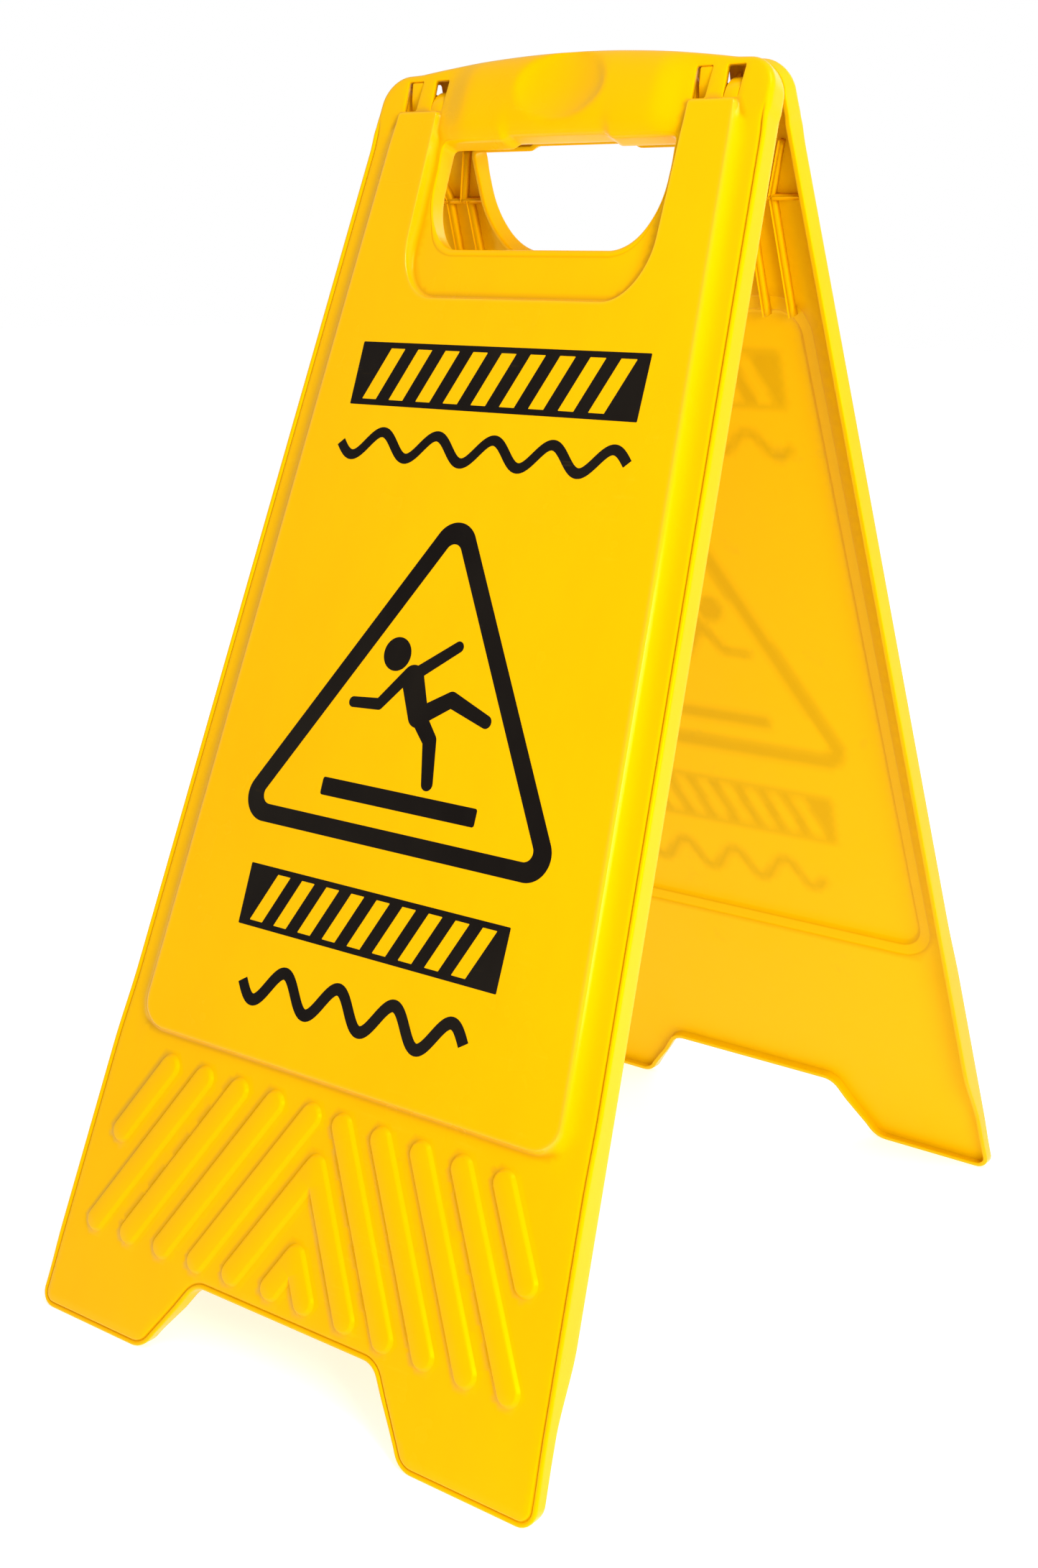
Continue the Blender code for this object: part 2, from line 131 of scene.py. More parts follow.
world = bpy.data.worlds.new("studio")
bpy.context.scene.world = world
world.use_nodes = True
backdrop = world.node_tree.nodes["Background"]
backdrop.inputs["Color"].default_value = (1, 1, 1, 1)
WORLD_LIGHT, WORLD_SEEN = 0.58, 1.0
ray = world.node_tree.nodes.new('ShaderNodeLightPath')
strength = world.node_tree.nodes.new('ShaderNodeMapRange')
strength.inputs["To Min"].default_value = WORLD_LIGHT
strength.inputs["To Max"].default_value = WORLD_SEEN
world.node_tree.links.new(ray.outputs["Is Camera Ray"], strength.inputs["Value"])
world.node_tree.links.new(strength.outputs["Result"], backdrop.inputs["Strength"])
bpy.context.scene.view_settings.view_transform = 'Standard'
print("world gives", WORLD_LIGHT, "of light and is seen at", WORLD_SEEN)

# %% [markdown]
# ## Bands
# Each surface is either a *band*, closed rings joined by quads, or a *fill*, a
# flat-ish region between closed loops covered with triangles. Bands carry the
# rounded edges, because their rings can sit close together where a surface bends.

# %% Bands
def ease(low, high, x):
    """0 below low, 1 above high, and a smooth S between: t * t * (3 - 2 t)."""
    t = np.clip((np.asarray(x, float) - low) / (high - low), 0, 1)
    return t * t * (3 - 2 * t)


def band(rings):
    """Quads between neighbouring closed rings, given as (ring, point, columns)."""
    count, points, width = rings.shape
    i = np.arange(points)
    j = (i + 1) % points
    start = np.arange(count - 1)[:, None] * points
    quads = np.stack([start + i, start + j, start + points + j, start + points + i], -1)
    return rings.reshape(-1, width), quads.reshape(-1, 4)


print("ease from 0 to 1 in quarters:", ease(0, 1, [0, 0.25, 0.5, 0.75, 1]).round(3).tolist())

# %% [markdown]
# ## Fills
# A fill covers a plain area cheaply. A constrained triangulation joins the loops'
# points, and a coarse grid of extra points where the surface still bends; triangles
# that fall outside the region, or in a hole of it, are dropped by an even-odd test.

# %% Fills
def inside(points, loops):
    """Even-odd test: a ray to +s from an inner point crosses the loops an odd number
    of times."""
    a = np.concatenate([loop[:, :2] for loop in loops])
    b = np.concatenate([np.roll(loop[:, :2], -1, 0) for loop in loops])
    odd = np.zeros(len(points), bool)
    for part in np.array_split(np.arange(len(points)), max(1, len(points) // 1500)):
        x, y = points[part, 0:1], points[part, 1:2]
        spans = (a[:, 1] > y) != (b[:, 1] > y)
        with np.errstate(divide="ignore", invalid="ignore"):
            cross = a[:, 0] + (y - a[:, 1]) / (b[:, 1] - a[:, 1]) * (b[:, 0] - a[:, 0])
        odd[part] = (spans & (x < cross)).sum(1) % 2 == 1
    return odd


def loop_edges(loops):
    """Pairs of neighbouring points round each loop, counted through all the loops."""
    starts = np.cumsum([0] + [len(loop) for loop in loops])
    pairs = [np.stack([np.arange(len(loop)), (np.arange(len(loop)) + 1) % len(loop)], 1) + start
             for loop, start in zip(loops, starts)]
    return np.concatenate(pairs).tolist()


def fill(loops, height=None, grid=None):
    """Triangles over the region between closed loops (s, v, n).

    With a grid spacing, points on a triangular grid that lie inside and clear of
    every loop point join in, at the height given."""
    rims = np.concatenate(loops)
    points = rims
    loops = [np.float32(loop).astype(float) for loop in loops]
    if grid:
        low, high = rims[:, :2].min(0), rims[:, :2].max(0)
        s, v = np.meshgrid(np.arange(low[0], high[0], grid),
                           np.arange(low[1], high[1], grid * 0.866))
        s[1::2] += grid / 2
        mesh = np.stack([s.ravel(), v.ravel()], 1)
        mesh = mesh[inside(mesh, loops)]
        gap = np.concatenate([np.sqrt(((part[:, None] - rims[None, :, :2]) ** 2).sum(-1)).min(1)
                              for part in np.array_split(mesh, max(1, len(mesh) // 400))])
        mesh = mesh[gap > 0.6 * grid]
        mesh = np.column_stack([mesh, height(mesh[:, 0], mesh[:, 1])])
        points = np.concatenate([rims, np.pad(mesh, ((0, 0), (0, rims.shape[1] - 3)))])
    plan, _, faces, origin, _, _ = delaunay_2d_cdt(
        [Vector(p) for p in points[:, :2].tolist()], loop_edges(loops), [], 0, 1e-7)
    source = np.array([o[0] if o else -1 for o in origin])
    if (source < 0).any():
        print("   loops cross at", [tuple(round(c, 2) for c in plan[i])
                                    for i in np.flatnonzero(source < 0)[:4]])
    faces = np.array(faces)
    plan = np.array(plan)
    return points[source], faces[inside(plan[faces].mean(1), loops)]


triangle = np.array([[0, 0, 0], [6, 0, 0], [0, 6, 0]], float)
print("a fill of one triangle with a 1 mm grid:", len(fill([triangle], lambda s, v: 0 * s, 1)[1]),
      "faces")

# %% [markdown]
# ## Welding
# Bands and fills that share loops are merged where their points meet, which gives
# one closed skin, and its faces are pointed outwards. Values carried beside the
# positions, such as how much painted shade a point takes in a crease, become
# attributes that the finishes read later.

# %% Welding
def weld(name, parts, turned, marks=()):
    """One closed object from (verts, faces) parts in panel mm, faces outwards.

    Columns after s, v, n become point attributes named by `marks`, and "place" keeps
    s, v and n themselves."""
    columns = 3 + len(marks)
    verts = np.concatenate([np.pad(np.asarray(v, float),
                                   ((0, 0), (0, max(0, columns - np.shape(v)[1]))))[:, :columns]
                            for v, _ in parts])
    mesh = bpy.data.meshes.new(name)
    starts = np.cumsum([0] + [len(v) for v, _ in parts])
    faces = [face for (_, f), start in zip(parts, starts) for face in (f + start).tolist()]
    mesh.from_pydata(stand_up(verts[:, :3], turned).tolist(), [], faces)
    mesh.attributes.new("place", 'FLOAT_VECTOR', 'POINT').data.foreach_set(
        "vector", verts[:, :3].ravel())
    for column, mark in enumerate(marks, 3):
        mesh.attributes.new(mark, 'FLOAT', 'POINT').data.foreach_set("value", verts[:, column])
    bm = bmesh.new()
    bm.from_mesh(mesh)
    bmesh.ops.remove_doubles(bm, verts=bm.verts, dist=1e-6)
    loose = [e for e in bm.edges if len(e.link_faces) != 2]
    bmesh.ops.recalc_face_normals(bm, faces=bm.faces)
    bm.to_mesh(mesh)
    bm.free()
    mesh.shade_smooth()
    piece = bpy.data.objects.new(name, mesh)
    bpy.context.scene.collection.objects.link(piece)
    mesh.calc_loop_triangles()
    print(f"{name}: {len(mesh.loop_triangles)} triangles, {len(loose)} open edges")
    return piece


print("300 mm down the field's middle is at", stand_up([[0, 300, FIELD_PLANE]], False).round(4))


# %% [markdown]
# ## Loops
# A loop is drawn once as corners with radii, then sampled evenly. `inward` gives
# each of its points a unit direction into the material, so that offset rings are
# one array sum: ring = loop + direction * distance.

# %% Drawing loops
def rounded(corners, step=0.5):
    """Corners (s, v, radius) to points; each corner is cut by an arc of its radius."""
    out, count = [], len(corners)
    for i, (x, y, r) in enumerate(corners):
        here = np.array([x, y], float)
        if r <= 0:
            out.append(here[None])
            continue
        a = np.array(corners[i - 1][:2], float) - here
        b = np.array(corners[(i + 1) % count][:2], float) - here
        la, lb = np.hypot(*a), np.hypot(*b)
        a, b = a / la, b / lb
        half = math.acos(np.clip(a @ b, -1, 1)) / 2
        reach = min(r / math.tan(half), 0.49 * la, 0.49 * lb)
        middle = here + (a + b) / np.hypot(*(a + b)) * reach / math.cos(half)
        start, end = here + a * reach - middle, here + b * reach - middle
        turn = math.atan2(start[0] * end[1] - start[1] * end[0], start @ end)
        t = np.linspace(0, turn, max(4, int(abs(turn) * np.hypot(*start) / step)))
        out.append(middle + np.stack([start[0] * np.cos(t) - start[1] * np.sin(t),
                                      start[0] * np.sin(t) + start[1] * np.cos(t)], 1))
    return np.concatenate(out)


def sampled(points, spacing):
    """The same closed loop with points at an even distance along it."""
    closed = np.concatenate([points, points[:1]])
    along = np.concatenate([[0], np.cumsum(np.hypot(*np.diff(closed, axis=0).T))])
    at = np.linspace(0, along[-1], max(12, int(along[-1] / spacing)) + 1)[:-1]
    return np.stack([np.interp(at, along, closed[:, k]) for k in (0, 1)], 1)


def inward(loop, outer=True):
    """Unit directions off a loop: into it for an outer edge, away from it for a hole."""
    ahead = np.roll(loop, -1, 0) - np.roll(loop, 1, 0)
    side = np.stack([-ahead[:, 1], ahead[:, 0]], 1) / np.hypot(*ahead.T)[:, None]
    area = (loop[:, 0] * np.roll(loop[:, 1], -1) - loop[:, 1] * np.roll(loop[:, 0], -1)).sum()
    return side * (1 if (area > 0) == outer else -1)


def mirrored(half):
    """A right-hand half from top to bottom, closed with its mirror image."""
    other = half[::-1] * (-1, 1)
    return np.concatenate([half, other[np.abs(other[:, 0]) > 1e-6]])


square = sampled(rounded([(0, 0, 2), (10, 0, 2), (10, 10, 2), (0, 10, 2)]), 1)
print("a rounded 10 mm square, sampled every 1 mm, has", len(square), "points")


# %% [markdown]
# ## The panel's outline
# The panel widens steadily towards its feet. Its top is a shallow arch, the
# handle, that runs into round shoulders; a tiny ledge sets the side flanges in
# from the shoulders, and a notch parts the two feet.

# %% Outline
HALF_W, FLARE = 108.27, 0.06815
SHOULDER_R, FOOT, NOTCH = 15.0, 601.5, 563.0
LEDGE = 0.5


def half_width(v):
    """Half width of the panel, growing evenly down it."""
    return HALF_W + FLARE * v


def crown(s):
    """Drop of the handle's top edge, a parabola."""
    return -21.0 + 7.2 * (np.asarray(s) / 90) ** 2


s_top = np.linspace(0, 87, 45)
turn = np.radians(np.linspace(-90, 0, 24))
v_side = np.concatenate([np.linspace(2, 20, 24), np.linspace(24, 560, 120)])
feet = rounded([(half_width(555) - LEDGE, 555, 0), (half_width(FOOT) - LEDGE, FOOT, 8),
                (78.0, FOOT, 12), (53.8, NOTCH, 10), (0, NOTCH, 0)])
outline = sampled(mirrored(np.concatenate([
    np.stack([s_top, crown(s_top)], 1),
    np.stack([half_width(1) - SHOULDER_R + SHOULDER_R * np.cos(turn),
              1 + SHOULDER_R * np.sin(turn)], 1),
    np.stack([half_width(v_side) - LEDGE * ease(8, 12, v_side), v_side], 1)[:-1],
    feet[1:]])), 1.8)
print("outline", len(outline), "points,", np.round(np.ptp(outline, axis=0), 1), "mm")

# %% [markdown]
# ## The openings and the raised field
# The hand opening hangs under the bar with wide elliptical lower corners, and a
# shallow arch is relieved from the bar's lower edge for the fingers. The field
# that carries the print is a raised island: two columns beside the opening grow
# out of its top.

# %% Opening, windows and field
HOLE_HALF, HOLE_TOP, HOLE_BOTTOM = 64.8, 20.0, 71.5
RELIEF, RELIEF_ENDS = 2.2, (26, 31)
DEPTH, STEP, WALL = FIELD_PLANE, 2.6, 2.4
PLANE = DEPTH - STEP
FIELD_TOP, FIELD_BOTTOM, FIELD_CORNER = 6.2, 455.0, 13
RECESS_HALF, RECESS_BOTTOM = 69.5, 96.5
STATIONS = (72.6, 88.6)


def field_half(v):
    """Half width of the field, which widens a little less than the panel."""
    return 92.3 + 0.0655 * v


def bar_bottom(s):
    """Drop of the bar's lower edge, relieved in the middle for the fingers."""
    return HOLE_TOP - RELIEF * (1 - ease(*RELIEF_ENDS, np.abs(s)))


quarter = np.radians(np.linspace(0, 90, 30))
arch_s = np.linspace(0, 60, 61)
opening = sampled(mirrored(np.concatenate([
    np.stack([arch_s, bar_bottom(arch_s)], 1),
    rounded([(60, HOLE_TOP, 0), (HOLE_HALF, HOLE_TOP, 3), (HOLE_HALF, 40, 0)])[1:-1],
    np.stack([HOLE_HALF - 22 + 22 * np.cos(quarter),
              HOLE_BOTTOM - 32 + 32 * np.sin(quarter)], 1),
    [[0, HOLE_BOTTOM]]])), 1.3)

windows = []
for at, half in zip(STATIONS, (4.25, 4.65)):
    for side in (-1, 1):
        windows.append(sampled(rounded([
            (side * at - half, -10.3, 0.7), (side * at + half, -10.3, 0.7),
            (side * at + half * 0.8, 4.5, 0.7), (side * at - half * 0.8, 4.5, 0.7)], 0.2), 0.8))

field = sampled(mirrored(np.concatenate([
    [[0, RECESS_BOTTOM]],
    np.stack([RECESS_HALF - 22 + 22 * np.cos(quarter),
              RECESS_BOTTOM - 30 + 30 * np.sin(quarter)], 1)[::-1],
    rounded([(RECESS_HALF, 60, 0), (RECESS_HALF, FIELD_TOP, 1.2),
             (field_half(FIELD_TOP), FIELD_TOP, 1.2),
             (field_half(FIELD_BOTTOM), FIELD_BOTTOM, FIELD_CORNER),
             (0, FIELD_BOTTOM, 0)], 0.3)[1:]])), 1.5)
print("opening", len(opening), "field", len(field), "window", len(windows[0]))

# %% [markdown]
# ## Height of the outside
# Away from its edges the face is one smooth height over (s, v): a plane, a
# slightly dished floor round the opening, and the grip bar. The bar's section is
# a superellipse, 1 = |across|^2.4 + |up|^2.4, which fades into the shoulders,
# with a shallow thumb rest pressed into its middle.

# %% Face height
BAR_RISE, BAR_EDGE = 4.4, 8.5
THUMB_HALF, THUMB_HIGH, THUMB_V, THUMB_DEEP = 25.0, 17.0, -4.0, 4.8


def bar_share(s):
    """1 on the grip bar, fading to 0 in the shoulders."""
    return 1 - ease(50, 70, np.abs(s))


def face(s, v):
    """Height of the face without the raised field, in mm."""
    s, v = np.asarray(s, float), np.asarray(v, float)
    a = np.abs(s)
    beside = ease(-3, 4, a - field_half(v)) * ease(8, 24, v) * (1 - ease(430, 470, v))
    dish = ease(22, 34, v) * (1 - ease(72, 97, v)) * (1 - ease(69, 72, a))
    deep = ease(40, 64, a) * (1 - ease(55, 95, v)) * (1 - ease(69, 72, a)) * ease(14, 20, v)
    plane = PLANE - 1.3 * beside - 0.9 * dish - 1.9 * deep
    top, low = crown(s), bar_bottom(s)
    t = np.clip(np.abs((v - (top + low) / 2) / ((low - top) / 2)), 0, 1)
    bar = BAR_EDGE + (PLANE + BAR_RISE - BAR_EDGE) * (1 - t ** 2.4) ** (1 / 2.4)
    ring = (s / THUMB_HALF) ** 2 + ((v - THUMB_V) / THUMB_HIGH) ** 2
    bar = bar - THUMB_DEEP * np.clip(1 - ring, 0, 1) ** 0.8 * ease(-0.05, 0.25, 1 - ring)
    share = bar_share(s) * (v < 24)
    return plane + (bar - plane) * share


print("the bar rises to", round(float(face(40, -2)), 1), "mm and the thumb rest dips to",
      round(float(face(0, THUMB_V)), 1), "mm")


# %% [markdown]
# ## Edges of the face
# A small bead runs round the panel: the face dips into a thin crease, rises over
# the bead and turns down the flange. On the shoulders it gives way to a plain
# round edge. Each edge is a list of distances in from the loop and the drop there.

# %% Edge profiles
EDGE = np.array([0, 0.03, 0.12, 0.28, 0.5, 0.8, 1.1, 1.4, 1.7, 2.0, 2.25, 2.45, 2.6, 2.8,
                 3.2, 4.0])


def round_drop(e, r):
    """Drop of a quarter round of radius r at a distance e in from its edge."""
    return r - np.sqrt(np.clip(r ** 2 - (r - np.minimum(e, r)) ** 2, 0, None))


def bead_drop(e):
    """Quarter round outside, a hump, then a steep fall into the crease."""
    round_over = round_drop(e, 1.3) - 0.3
    fall = 1.25 * (np.clip(e - 1.3, 0, 1.15) / 1.15) ** 2 - 0.3
    rise = 0.95 * (1 - np.clip((e - 2.45) / 1.3, 0, 1)) ** 2.2
    return np.where(e < 1.3, round_over, np.where(e < 2.45, fall, rise))


def lip_drop(e, width):
    """Rounded lip of the opening with a faint crease behind it."""
    r = 0.55 * width
    return round_drop(e, r) - 0.16 * np.exp(-((e - 0.72 * width) / (0.14 * width)) ** 2) \
        + 0.10 * np.exp(-((e - width) / (0.10 * width)) ** 2)


def rim(v):
    """Height of the free edge: on the meeting plane, cut away above the axis and at
    the feet."""
    return 0.35 + np.maximum(0, -v) * TAN + 4.7 * ease(526, 564, v)


print("the bead stands", round(float(-bead_drop(EDGE).min()), 2), "mm proud, its crease is",
      round(float(bead_drop(2.45)), 2), "mm deep")


# %% [markdown]
# ## Outside skin
# The outline's rings, the field's rings and the opening's rings each follow their
# own loop. Beside its place each point carries four values for the finish: whether
# it is in a crease, on the inside, on a ridge, or under print. Creases and the inside
# get painted shade, and the ceiling under print gets a painted shadow of the print.

# %% Outside skin
MARKS_OF_SKIN = ("crease", "inner", "ridge", "ghost")


def ring_at(loop, direction, distance, height, crease=0.0, inner=0.0, ridge=0.0):
    """An offset ring, loop + direction * distance, with its height and its marks."""
    flat = loop + direction * np.reshape(distance, (-1, 1))
    return np.column_stack([flat, *np.broadcast_arrays(
        height(flat[:, 0], flat[:, 1]), crease, inner, ridge, np.zeros(len(flat)))])


def near(x, middle, spread):
    """A bell: 1 at the middle, falling off over the spread."""
    return np.exp(-((x - middle) / spread) ** 2)


outline_in = inward(outline)
edge_v = outline[:, 1]
bead_share = ease(6, 16, edge_v)
narrow = 0.64 + 0.36 * ease(-2, 8, edge_v)
grip = bar_share(outline[:, 0]) * (edge_v < 0)


def edge_ring(e):
    """The panel's edge at distance e: a bead, or on the shoulders a plain round."""
    drop = bead_share * bead_drop(e) + (1 - bead_share) * round_drop(e * narrow, 2.9)
    drop = drop + 0.8 * ease(560, 590, edge_v) * (1 - ease(1.2, 4, e))
    # The crease mark paints shade into the bead's groove.
    ring = ring_at(outline, outline_in, e * narrow, face, 0.75 * bead_share * near(e, 2.5, 0.35))
    ring[:, 2] -= drop * (1 - grip)
    return ring


edge_rings = np.stack([edge_ring(e) for e in EDGE])

field_out = -inward(field)
step_width = 1.1 + 1.1 * ease(50, 100, field[:, 1]) \
    + 8.9 * ease(78, 86, np.abs(field[:, 0])) * ease(5, 24, field[:, 1]) \
    * (1 - ease(441, 456, field[:, 1])) \
    + 1.9 * (np.abs(field[:, 0]) < 75) * ease(8, 22, field[:, 1]) * (1 - ease(66, 96, field[:, 1]))
softness = 0.3 + 0.5 * (1 - ease(15, 120, field[:, 1]))
bend = 1.8 + 1.1 * ease(4, 10, step_width)
thin = 1 - ease(3.5, 6, step_width)


def step_ring(distance):
    """The field's side: from the ridge it falls as (1 - share)^bend, rounded off at
    the top. Painted shade marks the crease where it lands on narrow steps, and where s
    is below 0 a painted dark line runs just outside the ridge, on the slope turned from the key
    light."""
    ring = ring_at(field, field_out, distance, face,
                   near(distance, 0.85 * step_width, 0.35 * step_width) * thin
                   + near(distance, 0.9, 0.5) * (1 - thin) * 0.35 * (field[:, 0] < 0),
                   ridge=near(distance, 0.2, 0.9))
    low = ring_at(field, field_out, step_width, face)[:, 2]
    slope = ring[:, 2] + (DEPTH - low) * np.clip(1 - distance / step_width, 0, None) ** bend
    h = np.clip(0.5 + 0.5 * (slope - DEPTH) / softness, 0, 1)
    ring[:, 2] = slope + (DEPTH - slope) * h - softness * h * (1 - h)
    return ring


SHARES = np.array([0, 0.06, 0.14, 0.24, 0.36, 0.5, 0.65, 0.82, 1.0])
step_rings = np.stack([step_ring(np.full(len(field), f)) for f in (-1.6, -0.9, -0.45, -0.2, -0.08)]
                      + [step_ring(share * step_width) for share in SHARES])
step_rings[0, :, 2] = DEPTH
print("edge and step rings", edge_rings.shape, step_rings.shape)

# %% [markdown]
# ## Lip and windows
# The hand opening gets a rounded lip, wider at its lower corners, with a faint crease
# behind it. The four small windows above the columns show the hinge, and their edges
# are just softened.

# %% Lip and windows
opening_out = inward(opening, outer=False)
lip_width = 1.15 + 2.4 * ease(56, 70, opening[:, 1])
on_bar = bar_share(opening[:, 0]) * (opening[:, 1] < 24)


def lip_ring(share):
    """The opening's rounded lip, flattened away along the grip bar."""
    e = share * lip_width
    # Painted shade darkens the faint crease behind the lip.
    ring = ring_at(opening, opening_out, e, face,
                   0.7 * near(share, 1.0, 0.12) * (1 - on_bar))
    ring[:, 2] -= lip_drop(e, lip_width) * (1 - on_bar)
    return ring


lip_rings = np.stack([lip_ring(k) for k in (0, 0.01, 0.04, 0.1, 0.2, 0.34, 0.5, 0.66, 0.8,
                                            0.9, 1.0, 1.12, 1.25)])

window_rings = []
for loop in windows:
    away = inward(loop, outer=False)
    window_rings.append(np.stack([ring_at(loop, away, e, lambda s, v, e=e: face(s, v)
                                          - round_drop(e, 0.4)) for e in (0, 0.06, 0.18, 0.4)]))
print("lip rings", lip_rings.shape, "and rings of", len(window_rings), "windows")

# %% [markdown]
# ## Grip bars
# Below the field, slanting bars are pressed out of the face in nested arrows.
# Each is a capsule: all points within a radius of a line. Its height follows an
# S curve of the distance in from its edge, so it swells out of the plane. The last
# fill covers what is left of the face between all the loops.

# %% Grip bars
BAR_HALF, BAR_HIGH, BAR_SOFT = 6.2, 1.8, 2.0
BAR_RINGS = (0, 0.12, 0.3, 0.55, 0.85, 1.2, 1.6, 2.0)
SLANT = 0.585


def capsule(a, b, r, steps=14):
    """The two end arcs of the outline at distance r from the line a-b."""
    base = math.atan2(b[1] - a[1], b[0] - a[0])
    t = np.radians(np.linspace(0, 180, steps)) + base
    return [np.array(b) + r * np.stack([np.cos(t - np.pi / 2), np.sin(t - np.pi / 2)], 1),
            np.array(a) + r * np.stack([np.cos(t + np.pi / 2), np.sin(t + np.pi / 2)], 1)]


def straight(a, b, count):
    """Points between a and b, evenly spaced, without the two ends."""
    t = np.linspace(0, 1, count + 2)[1:-1, None]
    return a + (b - a) * t


def bar_loop(a, b, r):
    """A whole capsule: two end arcs and two straight sides."""
    end, start = capsule(a, b, r)
    return np.concatenate([end, straight(end[-1], start[0], 30), start,
                           straight(start[-1], end[0], 30)])


def arrow_loop(apex, drop, r):
    """Two capsules leaning apart from one apex, joined in a rounded point."""
    half = math.atan(SLANT)
    foot = np.array([SLANT * drop, apex + drop])
    t = np.linspace(-math.pi + half, -half, 12)
    point = np.array([0, apex]) + r * np.stack([np.cos(t), np.sin(t)], 1)
    t = np.linspace(-half, math.pi - half, 14)
    end = foot + r * np.stack([np.cos(t), np.sin(t)], 1)
    crotch = np.array([0, apex + r / math.sin(half)])
    right = np.concatenate([point, straight(point[-1], end[0], 24), end,
                            straight(end[-1], crotch, 24), [crotch]])
    left = right[len(point):-1][::-1] * (-1, 1)
    return np.concatenate([right, left])


bar_rings = []
for side in (-1, 1):
    for k in range(5):
        top = np.array([side * (9.2 + 22.5 * k), 471.5])
        drop = 80.0 if k < 4 else 36.0
        low = top + (side * SLANT * drop, drop)
        bar_rings.append([bar_loop(top, low, BAR_HALF - d) for d in BAR_RINGS])
for apex, drop in ((492.5, 58.0), (533.0, 17.0)):
    bar_rings.append([arrow_loop(apex, drop, BAR_HALF - d) for d in BAR_RINGS])


def raised(loop, d):
    """A bar's ring at distance d in: the face plus an S curve, with painted shade in the crease at
    its foot.
    """
    rise = BAR_HIGH * ease(-0.2, BAR_SOFT, d) ** 0.8 * (d > 0)
    return ring_at(loop, 0, 0, lambda s, v: face(s, v) + rise, 0.3 * near(d, 0.05, 0.15))


bar_rings = [np.stack([raised(loop, d) for loop, d in zip(rings, BAR_RINGS)])
             for rings in bar_rings]

outside = [band(edge_rings), band(step_rings), band(lip_rings)]
outside += [band(rings) for rings in window_rings + bar_rings]
outside.append(fill([step_rings[0]]))
outside += [fill([rings[-1]]) for rings in bar_rings]
outside.append(fill([edge_rings[-1], step_rings[-1], lip_rings[-1]]
                    + [rings[-1] for rings in window_rings] + [rings[0] for rings in bar_rings],
                    face, 2.6))
print("outside skin", sum(len(verts) for verts, _ in outside), "points")

# %% [markdown]
# ## Inside skin
# The tray is hollow: its ceiling runs one wall thickness under the face, and
# steps deeper behind the field. Side walls, the collar round the opening and the
# edges of the windows join the inside to the outside, so the skin is closed. A thin
# ledge runs round the step, and painted shade darkens the creases where the walls meet the
# ceiling.

# %% Inside skin
def ceiling(s, v):
    """Height of the inside, one wall under the face."""
    return face(s, v) - WALL


def wall_ring(loop, direction, e, height, inner=0.0):
    """A ring at a given height, for upright walls."""
    return ring_at(loop, direction, e, lambda s, v: height, 0.0, inner)


def flange(loop, direction, start, low, shares):
    """Outer wall from the face's edge down to the rounded free rim and up inside it."""
    rows = [wall_ring(loop, direction, 0, start + (low + 0.5 - start) * k) for k in shares]
    for e, up in ((0.06, 0.22), (0.18, 0.06), (0.4, 0), (WALL - 0.4, 0), (WALL - 0.12, 0.1),
                  (WALL, 0.4)):
        rows.append(wall_ring(loop, direction, e, low + up, float(e > 1)))
    # Painted shade darkens the corner where the wall meets the ceiling.
    for e, down, crease in ((WALL, 0.9, 0.3), (WALL + 0.25, 0.3, 0.8), (WALL + 0.9, 0, 0.2)):
        rows.append(ring_at(loop, direction, e, lambda s, v: ceiling(s, v) - down, crease, 1.0))
    return np.stack(rows)


outer_wall = flange(outline, outline_in, edge_rings[0, :, 2], rim(edge_v),
                    (0, 0.2, 0.4, 0.6, 0.8, 1))
collar = flange(opening, opening_out, lip_rings[0, :, 2], rim(np.maximum(opening[:, 1], 0)),
                (0, 0.25, 0.5, 0.75, 1))

hollow = sampled(rounded([(-field_half(99) + 5, 99, 12), (field_half(99) - 5, 99, 12),
                          (field_half(453) - 2, 453, 12), (-field_half(453) + 2, 453, 12)]), 2.5)
hollow_in = inward(hollow)
CEILING = DEPTH - WALL
hollow_rings = []
# Painted shade darkens two lines round the step of the hollow.
for e in (-8.0, -7.6, -7.2, -6.8, -1.6, -0.9, -0.3, 0.3, 0.9, 1.6):
    rise, ledge = ease(-1.6, 1.6, e), 0.55 * ease(-8.0, -6.8, e)
    hollow_rings.append(ring_at(
        hollow, hollow_in, e,
        lambda s, v: (ceiling(s, v) + ledge) * (1 - rise) + CEILING * rise,
        0.8 * near(e, -0.9, 0.5) + 0.7 * near(e, -7.8, 0.4), 1.0))
hollow_rings = np.stack(hollow_rings)
# The windows' walls take painted shade where they meet the ceiling.
window_walls = [np.stack([rings[0], ring_at(rings[0][:, :2], 0, 0, ceiling, 0.8, 1.0)])
                for rings in window_rings]

inner = [band(outer_wall), band(collar), band(hollow_rings)]
inner += [band(walls) for walls in window_walls]
inner.append(fill([hollow_rings[-1]], lambda s, v: np.full(len(s), CEILING), 3.6))
inner.append(fill([outer_wall[-1], collar[-1], hollow_rings[0]]
                  + [walls[-1] for walls in window_walls], ceiling, 4.0))
for verts, _ in inner[-2:]:
    verts[:, 4] = 1.0
skin = outside + inner
print("inside skin", sum(len(verts) for verts, _ in inner), "points")

# %% [markdown]
# ## The two mouldings
# Both panels come out of one tool, so one skin serves twice: the second is turned
# end for end. Each welded panel stands for its CAD node and rides on its body.

# %% Panels
PIECES = []


def keep(piece, side, slot, *nodes):
    """Attach a finished piece to its body, hide the CAD nodes it stands for and list it among the
    pieces. The slot is not used.
    """
    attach(piece, side)
    if nodes:
        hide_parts(*nodes)
    PIECES.append(piece)
    return piece


